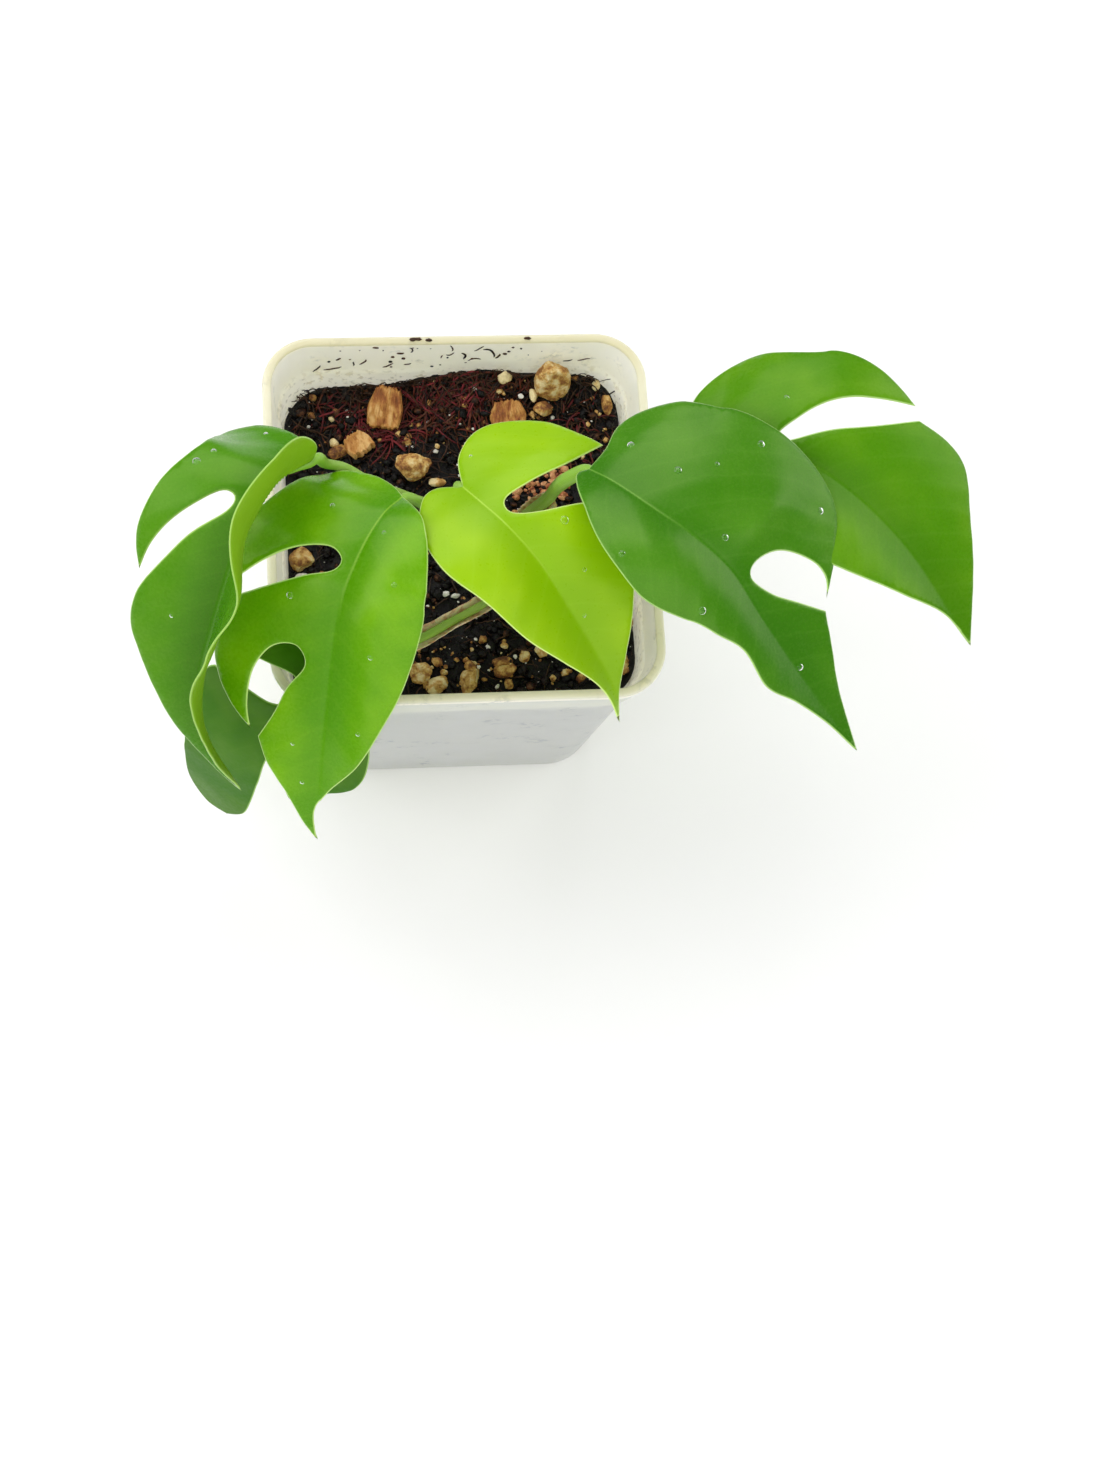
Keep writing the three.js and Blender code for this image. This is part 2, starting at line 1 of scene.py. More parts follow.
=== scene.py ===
"""Looks of a potted Rhaphidophora tetrasperma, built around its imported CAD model.

Sizes are in millimetres while a shape is worked out, and MM turns them to metres when its mesh
is made. The plant's shape repeats the midribs, outlines and stalk routes of the CAD model, with
veins, puckers and thin rounded margins of its own.
"""

import logging
import math
import random
from collections.abc import Callable, Sequence
from dataclasses import dataclass, field, replace
from enum import Enum
from functools import partial

import bmesh
import bpy
import numpy as np
from mathutils import Matrix, Vector, noise
from mathutils.geometry import delaunay_2d_cdt

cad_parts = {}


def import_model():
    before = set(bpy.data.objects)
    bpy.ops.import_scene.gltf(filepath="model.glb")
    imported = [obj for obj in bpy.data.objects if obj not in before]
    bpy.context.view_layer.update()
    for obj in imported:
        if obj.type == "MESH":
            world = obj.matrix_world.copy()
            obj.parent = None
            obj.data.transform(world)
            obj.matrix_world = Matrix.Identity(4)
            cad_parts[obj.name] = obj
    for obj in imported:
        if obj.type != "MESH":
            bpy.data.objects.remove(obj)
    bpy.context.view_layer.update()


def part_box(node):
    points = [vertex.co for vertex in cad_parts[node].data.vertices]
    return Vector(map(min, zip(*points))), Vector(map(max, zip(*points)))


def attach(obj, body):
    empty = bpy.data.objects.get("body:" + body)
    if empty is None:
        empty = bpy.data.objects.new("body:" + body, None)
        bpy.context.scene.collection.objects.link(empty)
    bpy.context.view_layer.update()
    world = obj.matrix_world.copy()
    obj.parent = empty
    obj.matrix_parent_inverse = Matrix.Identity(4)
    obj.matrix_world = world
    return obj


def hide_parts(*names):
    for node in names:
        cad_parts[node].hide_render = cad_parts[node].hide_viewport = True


MM = 0.001
ROOT = "root"
Array = np.ndarray
Material = bpy.types.Material
Socket = bpy.types.NodeSocket
Adder = Callable[..., Socket]
Point = tuple[float, float, float]
Flat = tuple[float, float]
Keys = tuple[Flat, ...]
Stops = tuple[tuple[float, str], ...]

log = logging.getLogger("potted_plant")


@dataclass(frozen=True)
class PhotoCamera:
    """Camera at the photograph's viewing angle, looking down on the plant from its front."""

    azimuth: float = -20.0
    elevation: float = 73.0
    roll: float = 17.4
    distance: float = 562.5
    target: Point = (17.2, -53.1, 85.0)
    lens: float = 61.35

    def build(self) -> bpy.types.Object:
        """Make the camera the scene's own.

        Returns:
            The camera object.
        """
        azimuth, elevation, roll = (math.radians(a) for a in (self.azimuth, self.elevation, self.roll))
        back = Vector((
            math.sin(azimuth) * math.cos(elevation), -math.cos(azimuth) * math.cos(elevation),
            math.sin(elevation)))
        level = Vector((math.cos(azimuth), math.sin(azimuth), 0))
        rise = back.cross(level)
        right = level * math.cos(roll) + rise * math.sin(roll)
        up = rise * math.cos(roll) - level * math.sin(roll)
        data = bpy.data.cameras.new("camera")
        data.lens = self.lens
        data.clip_start = 0.01
        camera = bpy.data.objects.new("camera", data)
        placing = Matrix((right, up, back)).transposed().to_4x4()
        placing.translation = (Vector(self.target) + back * self.distance) * MM
        camera.matrix_world = placing
        bpy.context.collection.objects.link(camera)
        bpy.context.scene.camera = camera
        return camera


def linear(colour: str) -> tuple[float, float, float, float]:
    """Turn an sRGB hex colour to linear light.

    Args:
        colour: A colour such as "#4a8a24".

    Returns:
        Linear red, green and blue, and an alpha of 1.
    """
    channels = [int(colour[place:place + 2], 16) / 255 for place in (1, 3, 5)]
    red, green, blue = (c / 12.92 if c <= 0.04045 else ((c + 0.055) / 1.055) ** 2.4 for c in channels)
    return red, green, blue, 1.0


def per_metre(size: float) -> float:
    """Texture scale that gives a pattern features of a size in millimetres."""
    return 1 / (size * MM)


VEIN_SLANT = 0.42  # how far a side vein moves towards the tip as it leaves the midrib
VEIN_BEND = 1.25  # how strongly it bends on the way
WAX_BLEED = (0.5, 1.0, 0.25)  # light spreads furthest in green under a leaf's skin

# Settings of the nodes used most. EASE takes value, from low, from high, to low and to high, and
# BLEND takes factor (0), first colour (6) and second colour (7).
EASE = {"kind": "MapRange", "interpolation_type": "SMOOTHSTEP"}
BLEND = {"kind": "Mix", "data_type": "RGBA", "output": 2}
TIMES = {"kind": "Math", "operation": "MULTIPLY"}
TIMES_PLUS = {"kind": "Math", "operation": "MULTIPLY_ADD"}
ZIGZAG = {"kind": "Math", "operation": "PINGPONG"}


def add_node(
    tree: bpy.types.NodeTree, inputs: Sequence | dict = (), *, kind: str, output: int | str = 0,
    stops: Stops = (), **settings: object,
) -> Socket:
    """Add a shader node with its settings and links.

    Args:
        tree: The node tree that the node goes into.
        inputs: What the inputs get, in order or by name or number: a socket that feeds the input,
            a number, a vector or a hex colour.
        kind: The node's type, without the leading ShaderNode.
        output: The name or number of the output that is wanted.
        stops: Place and hex colour of each stop, on a colour ramp.
        **settings: The node's own properties.

    Returns:
        The wanted output's socket.
    """
    node = tree.nodes.new("ShaderNode" + kind)
    for name, value in settings.items():
        setattr(node, name, value)
    for name, value in (inputs if isinstance(inputs, dict) else dict(enumerate(inputs))).items():
        if isinstance(value, Socket):
            tree.links.new(value, node.inputs[name])
        else:
            node.inputs[name].default_value = linear(value) if isinstance(value, str) else value
    for number, (place, colour) in enumerate(stops):
        elements = node.color_ramp.elements
        stop = elements[number] if number < 2 else elements.new(place)
        stop.position = place
        stop.color = linear(colour)
    return node.outputs[output]


@dataclass(frozen=True)
class Finish:
    """What every finish shares: a name for the real material and its plain shader values."""

    name: str
    roughness: float = 0.5
    ior: float = 1.5

    def start(self, values: dict) -> tuple[Material, bpy.types.Node, Adder]:
        """Begin the material.

        Args:
            values: Further values of the shader's inputs, by name.

        Returns:
            The material, its Principled shader and what adds a node to it.
        """
        material = bpy.data.materials.new(self.name)
        material.use_nodes = True
        shader = material.node_tree.nodes["Principled BSDF"]
        for name, value in {"Roughness": self.roughness, "IOR": self.ior, **values}.items():
            shader.inputs[name].default_value = value
        return material, shader, partial(add_node, material.node_tree)

    def dress(
        self, shader: bpy.types.Node, add: Adder, colour: Socket, height: Socket, strength: float,
        depth: float, roughness: Socket | None = None,
    ) -> None:
        """Feed the shader its colour, its fine relief and, if it varies, its roughness.

        Args:
            shader: The Principled shader.
            add: Adds a node to the material.
            colour: The colour.
            height: The relief, from 0 to 1.
            strength: How clearly the relief shows.
            depth: How deep it is, in millimetres.
            roughness: The roughness.
        """
        relief = add({"Strength": strength, "Distance": depth * MM, "Height": height}, kind="Bump")
        for name, socket in (("Base Color", colour), ("Normal", relief), ("Roughness", roughness)):
            if socket is not None:
                shader.id_data.links.new(socket, shader.inputs[name])


@dataclass(frozen=True)
class LeafFinish(Finish):
    """Living leaf with a waxy cuticle, which shows broad soft highlights.

    Gloss is the strength of its reflection, less on a leaf with dust on its wax. The side veins
    are faint lines that bend towards the tip, the margin is a thin pale line, and the underside is
    duller and lighter: its own paler green, brightened with painted light that shines through the
    blade. Widths are in millimetres. The cuticle's cells measure 0.05 mm, too fine to show, so
    cell_width draws them coarser.
    """

    blade: str = "#4a8a24"
    # Deep green of the mottle, and of the painted shade by the midrib.
    deep: str = "#2f7a10"
    light: str = "#67983f"
    vein: str = "#8cb84e"
    margin: str = "#b7e07a"
    # The underside's own paler green, plus painted light that shines through the blade.
    under: str = "#7fae35"
    wax: str = "#f8ffbe"
    gloss: float = 0.5
    under_dulling: float = 0.14
    midrib_line: Flat = (0.06, 0.3)
    midrib_fade: Flat = (3.0, 36.0)
    # Where the painted shade of the midrib's crease is full and where it ends.
    midrib_shade_reach: Flat = (1.0, 10.0)
    edge_line: Flat = (0.12, 0.36)
    vein_line: Flat = (0.05, 0.6)
    vein_strength: float = 0.045
    vein_spacing: float = 7.5
    vein_waver: float = 2.4
    waver_width: float = 14.0
    patch_width: float = 16.0
    mottle_width: float = 3.2
    cell_width: float = 0.9
    cell_depth: float = 0.1

    def build(self) -> Material:
        """Make the material.

        Returns:
            The material, which reads the blade's own coordinates.
        """
        material, shader, add = self.start({
            "Specular IOR Level": self.gloss, "Specular Tint": linear(self.wax),
            "Subsurface Weight": 0.1, "Subsurface Radius": WAX_BLEED, "Subsurface Scale": 0.5 * MM})
        place = add(kind="Attribute", attribute_name="blade_place", output="Vector")
        along, across, margin = add([place], kind="SeparateXYZ").node.outputs
        under = add(kind="Attribute", attribute_name="underside", output="Fac")
        coordinates = add(kind="TexCoord", output="Object")
        out = add([across], kind="Math", operation="ABSOLUTE")
        veins = self.vein_mask(add, along, out, coordinates)
        green = self.blade_colour(add, coordinates, out)
        upper = add({0: veins, 6: green, 7: self.vein}, **BLEND)
        lower = add({0: veins, 6: self.under, 7: self.light}, **BLEND)
        colour = add({0: under, 6: upper, 7: lower}, **BLEND)
        line = add((out, *self.midrib_line, 1.0, 0.0), **EASE)
        fading = add((along, *self.midrib_fade, 0.5, 0.0), **EASE)
        midrib = add((line, fading), **TIMES)
        colour = add({0: midrib, 6: colour, 7: self.vein}, **BLEND)
        edge = add((margin, *self.edge_line, 1.0, 0.0), **EASE)
        colour = add({0: edge, 6: colour, 7: self.margin}, **BLEND)
        cells = add(
            {"Vector": coordinates, "Scale": per_metre(self.cell_width), "Detail": 3.0}, kind="TexNoise")
        uneven = add((cells, 0.3, 0.7, self.roughness - 0.03, self.roughness + 0.06), **EASE)
        duller = add((under, self.under_dulling, uneven), **TIMES_PLUS)
        self.dress(shader, add, colour, cells, 0.12, self.cell_depth, duller)
        return material

    def blade_colour(self, add: Adder, coordinates: Socket, out: Socket) -> Socket:
        """Colour the green between the veins, mottled in soft patches, and darker by the midrib as painted
        shade of its crease.

        Args:
            add: Adds a node to the material.
            coordinates: Object coordinates, in metres.
            out: Distance from the midrib, in millimetres.

        Returns:
            The colour.
        """
        patches, mottle = (
            add({"Vector": coordinates, "Scale": per_metre(width), "Detail": detail}, kind="TexNoise")
            for width, detail in ((self.patch_width, 2.0), (self.mottle_width, 3.0)))
        lighter = add((patches, 0.35, 0.7), **EASE)
        # Painted shade: darker towards the midrib, in the hollow of its crease.
        midrib_shade = add((out, *self.midrib_shade_reach, 0.7, 0.0), **EASE)
        darker = add((mottle, 0.42, 0.8, 0.0, 0.16), **EASE)
        colour = add({0: lighter, 6: self.blade, 7: self.light}, **BLEND)
        colour = add({0: midrib_shade, 6: colour, 7: self.deep}, **BLEND)
        return add({0: darker, 6: colour, 7: self.deep}, **BLEND)

    def vein_mask(self, add: Adder, along: Socket, out: Socket, coordinates: Socket) -> Socket:
        """Draw the side veins, which leave the midrib and bend towards the tip.

        Args:
            add: Adds a node to the material.
            along: Distance along the midrib, in millimetres.
            out: Distance from the midrib, in millimetres.
            coordinates: Object coordinates, in metres.

        Returns:
            The mask, faint where a vein is and 0 between them.
        """
        waver = add({"Vector": coordinates, "Scale": per_metre(self.waver_width)}, kind="TexNoise")
        bend = add((out, VEIN_BEND), kind="Math", operation="POWER")
        phase = add((bend, -VEIN_SLANT, along), **TIMES_PLUS)
        phase = add((waver, self.vein_waver, phase), **TIMES_PLUS)
        away = add((phase, self.vein_spacing / 2), **ZIGZAG)
        return add((away, *self.vein_line, self.vein_strength, 0.0), **EASE)


@dataclass(frozen=True)
class StalkFinish(Finish):
    """Living leaf stalk: pale green, satin, with fine lengthwise lines and an olive foot."""

    tip: str = "#86bc34"
    foot: str = "#98aa4c"
    line: str = "#66a024"
    scar: str = "#8a6a3c"
    lines_round: float = 14.0
    blotch_width: float = 2.6

    def build(self) -> Material:
        """Make the material.

        Returns:
            The material, which reads the stalk's own coordinates.
        """
        material, shader, add = self.start(
            {"Subsurface Weight": 0.1, "Subsurface Radius": WAX_BLEED, "Subsurface Scale": 0.6 * MM})
        place = add(kind="Attribute", attribute_name="stalk_place", output="Vector")
        share, around, scar = add([place], kind="SeparateXYZ").node.outputs
        coordinates = add(kind="TexCoord", output="Object")
        blotch = add(
            {"Vector": coordinates, "Scale": per_metre(self.blotch_width), "Detail": 3.0},
            kind="TexNoise")
        turns = add((around, self.lines_round), **TIMES)
        waver = add((blotch, 0.8, turns), **TIMES_PLUS)
        ridge = add((waver, 0.5), **ZIGZAG)
        colour = add({0: share, 6: self.foot, 7: self.tip}, **BLEND)
        lined = add((ridge, 0.1, 0.45, 0.0, 0.35), **EASE)
        blotched = add((blotch, 0.5, 0.75, 0.0, 0.3), **EASE)
        for mask, shade in ((lined, self.line), (blotched, self.line), (scar, self.scar)):
            colour = add({0: mask, 6: colour, 7: shade}, **BLEND)
        height = add((ridge, blotch), kind="Math", operation="ADD")
        self.dress(shader, add, colour, height, 0.35, 0.12)
        return material


@dataclass(frozen=True)
class SheathFinish(Finish):
    """Dry stalk sheath: papery, beige with pink and brown veins, and nearly see-through."""

    paper: str = "#f4e2bc"
    rust: str = "#d0a07a"
    green: str = "#8f9a4a"
    veins_round: float = 26.0
    blotch_width: float = 1.8

    def build(self) -> Material:
        """Make the material.

        Returns:
            The material, which reads the sheath's own coordinates.
        """
        material, shader, add = self.start({"Subsurface Weight": 0.25, "Subsurface Scale": 0.4 * MM})
        place = add(kind="Attribute", attribute_name="stalk_place", output="Vector")
        share, around, _ = add([place], kind="SeparateXYZ").node.outputs
        coordinates = add(kind="TexCoord", output="Object")
        blotch = add(
            {"Vector": coordinates, "Scale": per_metre(self.blotch_width), "Detail": 4.0},
            kind="TexNoise")
        turns = add((around, self.veins_round), **TIMES)
        ridge = add((turns, 0.5), **ZIGZAG)
        blotched = add((blotch, 0.42, 0.66), **EASE)
        fresh = add((share, 0.0, 0.35, 0.5, 0.0), **EASE)
        veined = add((ridge, 0.2, 0.5, 0.0, 0.3), **EASE)
        colour = add({0: blotched, 6: self.paper, 7: self.rust}, **BLEND)
        for mask, shade in ((fresh, self.green), (veined, self.rust)):
            colour = add({0: mask, 6: colour, 7: shade}, **BLEND)
        self.dress(shader, add, colour, ridge, 0.5, 0.15)
        return material


@dataclass(frozen=True)
class PotPlastic(Finish):
    """Injection-moulded polypropylene: thin, off-white and satin, and it lets some light through.

    It is painted in a lit warm pale tone inside and on the lip, and in a shaded grey on its outer
    face: one plastic as a lit and a shaded copy. The lip's top is tan, most at the back, its outer
    face is scuffed, and soil stains it round the ledge. Heights and widths are in millimetres.
    """

    # Painted light and shade: the grey is the plastic's shaded copy on its outer face, and the warm pale tone
    # below is its lit copy, inside and on the lip.
    shaded_outside: str = "#d5d6c8"
    inside: str = "#faf3da"
    smudge: str = "#9aa0a0"
    soil: str = "#5a4630"
    lip_top_tan: str = "#bdb592"
    lip_foot: Flat = (80.8, 82.2)
    lip_top: Flat = (84.2, 84.7)
    tan_to_back: Flat = (30.0, 42.0)
    stain_top: Flat = (76.5, 70.5)
    cloud_width: float = 9.0
    speck_width: float = 1.5
    grain_width: float = 0.7

    def build(self) -> Material:
        """Make the material.

        Returns:
            The material, which reads the mask of the pot's inside.
        """
        material, shader, add = self.start({
            "Subsurface Weight": 1.0, "Subsurface Radius": (1.0, 0.95, 0.8), "Subsurface Scale": 9.0 * MM})
        inside = add(kind="Attribute", attribute_name="inside", output="Fac")
        coordinates = add(kind="TexCoord", output="Object")
        _, back, height = add([coordinates], kind="SeparateXYZ").node.outputs
        cloud, speck, grain = (
            add(
                {"Vector": coordinates, "Scale": per_metre(width), "Detail": detail, "Roughness": harsh},
                kind="TexNoise")
            for width, detail, harsh in (
                (self.cloud_width, 5.0, 0.62), (self.speck_width, 4.0, 0.5), (self.grain_width, 2.0, 0.5)))
        lip, top, low, worn = (
            add((along, start * MM, end * MM, least, most), **EASE)
            for along, (start, end), least, most in (
                (height, self.lip_foot, 0.0, 1.0), (height, self.lip_top, 0.0, 1.0),
                (height, self.stain_top, 0.0, 0.45), (back, self.tan_to_back, 0.55, 0.85)))
        # The lip's top gets a tan tint that grows stronger towards the back; worn holds only that share.
        top = add((top, worn), **TIMES)
        # Painted light: the inside and the lip take the lit warm pale tone.
        painted_light_mask = add((inside, lip), kind="Math", operation="MAXIMUM")
        cloudy = add((cloud, 0.56, 0.7, 0.0, 0.62), **EASE)
        rubbed = add((speck, 0.42, 0.6), **EASE)
        scuff = add((cloudy, rubbed), **TIMES)
        splash = add((speck, 0.52, 0.68), **EASE)
        dirt = add((low, splash), **TIMES)
        dirt = add((dirt, inside), **TIMES)
        colour = self.shaded_outside
        for mask, shade in (
            (painted_light_mask, self.inside), (scuff, self.smudge), (top, self.lip_top_tan), (dirt, self.soil),
        ):
            colour = add({0: mask, 6: colour, 7: shade}, **BLEND)
        uneven = add((cloud, 0.3, 0.7, self.roughness - 0.05, self.roughness + 0.1), **EASE)
        self.dress(shader, add, colour, grain, 0.12, 0.1, uneven)
        return material


@dataclass(frozen=True)
class MineralFinish(Finish):
    """Rough grain of stone, bark, fibre or peat, in colours that its tint picks.

    The grain's attribute tint runs from 0 to 1 over the stops, and a noise with features of patch
    millimetres moves it by spread either way. Grit and relief are the width and depth of its
    surface grain, and stretch draws both out along one axis.
    """

    stops: Stops = ((0.0, "#8a5a2c"), (1.0, "#d8b878"))
    patch: float = 1.4
    spread: float = 0.5
    grit: float = 0.35
    relief: float = 0.25
    shine: float = 0.5
    stretch: Point = (1.0, 1.0, 1.0)

    def build(self) -> Material:
        """Make the material.

        Returns:
            The material, which reads the tint.
        """
        material, shader, add = self.start({"Specular IOR Level": self.shine})
        tint = add(kind="Attribute", attribute_name="tint", output="Fac")
        coordinates = add(kind="TexCoord", output="Object")
        drawn = add((coordinates, self.stretch), kind="VectorMath", operation="MULTIPLY")
        patches, grit = (
            add(
                {"Vector": drawn, "Scale": per_metre(width), "Detail": detail, "Roughness": harsh},
                kind="TexNoise")
            for width, detail, harsh in ((self.patch, 5.0, 0.65), (self.grit, 3.0, 0.5)))
        shift = add((patches, 0.3, 0.7, -self.spread, self.spread), **EASE)
        factor = add((tint, shift), kind="Math", operation="ADD", use_clamp=True)
        colour = add([factor], kind="ValToRGB", stops=self.stops)
        self.dress(shader, add, colour, grit, 0.8, self.relief)
        return material


@dataclass(frozen=True)
class WaterFinish(Finish):
    """Clear water: bends the light of the leaf below and mirrors the lamp in a small bright dot."""

    def build(self) -> Material:
        """Make the material."""
        return self.start({"Transmission Weight": 1.0, "Base Color": linear("#f4fbf4")})[0]


# The real materials; each comment says what the eye gets from it
FAR_LEFT_LEAF = LeafFinish(  # oldest leaf: dark green, the most gloss
    "living_leaf_dark_green", 0.26, 1.45, blade="#498a08", deep="#3c7a04", light="#579218", vein="#7eb03e",
    margin="#a8d068", under="#7eae18", gloss=0.4)
FRONT_LEFT_LEAF = LeafFinish(  # full-grown leaf in its first season: warm mid green
    "living_leaf_mid_green", 0.26, 1.45, blade="#5e9e00", deep="#468c00", light="#74b006", vein="#a4d048",
    margin="#c4ea80", under="#84b41c")
LOW_LEAF = LeafFinish(  # shaded lowest leaf with a little dust: mid green, the least gloss
    "living_leaf_shade_green", 0.5, 1.45, blade="#396f06", deep="#2c5f02", light="#4a7a16", vein="#6c9a40",
    margin="#a4cc70", under="#7eaa34", gloss=0.12)
YOUNG_LEAF = LeafFinish(  # newest leaf, still thin: lime green
    "living_leaf_new_lime", 0.3, 1.45, blade="#8ebe00", deep="#7fb200", light="#9cc80a", vein="#c0e458",
    margin="#dcf690", under="#a8d434")
RIGHT_LEAF = LeafFinish(  # mature leaf: mid green, with painted shade by the midrib
    "living_leaf_full_green", 0.25, 1.45, blade="#3c7c08", deep="#307202", light="#4c8818", vein="#84b84c",
    margin="#b4dc80", under="#78aa28")
FAR_RIGHT_LEAF = LeafFinish(  # mature leaf turned to the light: yellower mid green
    "living_leaf_sun_green", 0.27, 1.45, blade="#4c8a04", deep="#3e7a00", light="#5e9610", vein="#88b848",
    margin="#b8de80", under="#7eae2a", gloss=0.32)
PALE_STALK = StalkFinish("living_leaf_stalk", 0.42)  # satin pale green, a little see-through
GREEN_STEM = StalkFinish(  # older skin: duller, olive, with brown rings at the nodes
    "living_green_stem", 0.5, tip="#86a24c", foot="#7d8a45", line="#66803a")
DRY_SHEATH = SheathFinish("dry_stalk_sheath", 0.7)  # matt and papery
SATIN_POLYPROPYLENE = PotPlastic("moulded_polypropylene", 0.42)  # satin, soft edges, slight glow
MOIST_PEAT = MineralFinish(  # nearly black while wet, with small wet glints
    "moist_peat_crumb", 0.4, stops=((0.0, "#030202"), (0.5, "#0c0605"), (0.8, "#2c160e"), (1.0, "#5c3a22")),
    patch=1.1, spread=0.3, grit=0.3, relief=0.3, shine=0.22)
COIR = MineralFinish(  # fibre ends: dry brown to wet rust and maroon
    "coir_fibre", 0.5, stops=((0.0, "#120805"), (0.3, "#4a2e18"), (0.55, "#5e2410"), (0.8, "#440b10"),
    (1.0, "#7a2228")), patch=2.0, spread=0.14, grit=0.4, relief=0.1, shine=0.3)
PEBBLE = MineralFinish(  # broken tan stone with rusty hollows, matt
    "broken_sandstone_pebble", 0.7, stops=((0.0, "#5a2f16"), (0.3, "#9c6830"), (0.6, "#d0a45a"),
    (1.0, "#f0dca8")), patch=2.2, spread=0.42, grit=0.45, relief=0.45)
PINE_BARK = MineralFinish(  # orange-brown inner bark with lengthwise fibre
    "pine_bark_chip", 0.7, stops=((0.0, "#4a2010"), (0.35, "#94541f"), (0.65, "#bf8540"), (1.0, "#dfb272")),
    patch=2.4, spread=0.36, grit=0.5, relief=0.4, stretch=(1.0, 0.35, 1.0))
PERLITE = MineralFinish(  # expanded volcanic glass: chalk white and porous
    "expanded_perlite", 0.85, stops=((0.0, "#b8b4a8"), (1.0, "#f6f3ea")), patch=0.8, spread=0.25,
    grit=0.25, relief=0.2)
FIRED_CLAY = MineralFinish(  # crushed brick: dusty orange to pink, matt
    "crushed_fired_clay", 0.8, stops=((0.0, "#5a2418"), (0.4, "#a85e38"), (1.0, "#e0a878")), patch=1.2,
    spread=0.3, grit=0.3, relief=0.3)
WATER = WaterFinish("clear_water", 0.02, 1.333)


@dataclass
class Geometry:
    """Vertices in millimetres with their triangles, four-sided faces and attributes."""

    vertices: Array
    triangles: Array = field(default_factory=lambda: np.empty((0, 3), int))
    quads: Array = field(default_factory=lambda: np.empty((0, 4), int))
    attributes: dict[str, Array] = field(default_factory=dict)

    @classmethod
    def join(cls, parts: Sequence["Geometry"]) -> "Geometry":
        """Put several shapes into one.

        Args:
            parts: The shapes, all with the same attributes.

        Returns:
            The joined shape.
        """
        starts = np.cumsum([0] + [len(part.vertices) for part in parts[:-1]])
        return cls(
            np.vstack([part.vertices for part in parts]),
            np.vstack([part.triangles + start for part, start in zip(parts, starts)]),
            np.vstack([part.quads + start for part, start in zip(parts, starts)]),
            {name: np.concatenate([part.attributes[name] for part in parts])
             for name in parts[0].attributes})

    def mesh(self, name: str, weld: bool) -> bpy.types.Mesh:
        """Make a Blender mesh in metres.

        Args:
            name: The mesh's name.
            weld: Whether vertices that lie on each other are joined.

        Returns:
            The mesh, with smooth faces that point out.
        """
        mesh = bpy.data.meshes.new(name)
        mesh.from_pydata((self.vertices * MM).tolist(), [], self.triangles.tolist() + self.quads.tolist())
        for title, values in self.attributes.items():
            kind = "FLOAT_VECTOR" if values.ndim == 2 else "FLOAT"
            layer = mesh.attributes.new(title, kind, "POINT")
            layer.data.foreach_set("vector" if values.ndim == 2 else "value", values.ravel().astype("f4"))
        if weld:
            work = bmesh.new()
            work.from_mesh(mesh)
            bmesh.ops.remove_doubles(work, verts=work.verts, dist=0.002 * MM)
            bmesh.ops.recalc_face_normals(work, faces=work.faces)
            work.to_mesh(mesh)
            work.free()
        mesh.shade_smooth()
        return mesh


def tinted(vertices: Array, triangles: Array, tint: float) -> Geometry:
    """Shape with one tint all over."""
    return Geometry(vertices, triangles, attributes={"tint": np.full(len(vertices), tint)})


def make_piece(
    name: str, geometry: Geometry, material: Material, slot: str, *nodes: str,
    weld: bool = False,
) -> bpy.types.Object:
    """Make a piece of the object that rides on the CAD frame.

    Args:
        name: The piece's name.
        geometry: Its shape.
        material: Its finish.
        slot: The material slot that the finish belongs to, only written to the log.
        *nodes: The CAD nodes that it stands for.
        weld: Whether vertices that lie on each other are joined.

    Returns:
        The piece.
    """
    mesh = geometry.mesh(name, weld)
    mesh.materials.append(material)
    piece = bpy.data.objects.new(name, mesh)
    bpy.context.collection.objects.link(piece)
    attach(piece, ROOT)
    if nodes:
        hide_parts(*nodes)
    log.info("%s: %d faces, slot %s, stands for %s", name, len(mesh.polygons), slot, nodes or "nothing")
    return piece


def catmull_rom(points: Array, steps: int, mirrored: bool) -> Array:
    """Draw a smooth line through points.

    Args:
        points: The points, one to a row.
        steps: How many steps each stretch gets.
        mirrored: Whether the line runs straight out of its ends, as a curve in space does here.

    Returns:
        The line's points.
    """
    first = 2 * points[0] - points[1] if mirrored else points[0]
    last = 2 * points[-1] - points[-2] if mirrored else points[-1]
    padded = np.vstack([first, points, last])
    t = np.linspace(0, 1, steps, endpoint=False)[:, None]
    line = []
    for a, b, c, d in zip(padded, padded[1:], padded[2:], padded[3:]):
        leave, arrive = (c - a) / 2, (d - b) / 2
        line.append((2 * b - 2 * c + leave + arrive) * t ** 3
                    + (3 * c - 3 * b - 2 * leave - arrive) * t ** 2 + leave * t + b)
    return np.vstack([*line, points[-1:]])


def distances(line: Array) -> Array:
    """Distance from the line's start to each of its points."""
    return np.concatenate([[0], np.cumsum(np.linalg.norm(np.diff(line, axis=0), axis=1))])


def resample(line: Array, count: int) -> Array:
    """Place points evenly along a line.

    Args:
        line: The line's points.
        count: How many points come out.

    Returns:
        The evenly spaced points, ends included.
    """
    run = distances(line)
    places = np.linspace(0, run[-1], count)
    return np.stack([np.interp(places, run, column) for column in line.T], axis=1)


def unit(vectors: Array) -> Array:
    """Vectors of length 1, in the same directions."""
    return vectors / np.linalg.norm(vectors, axis=-1, keepdims=True)


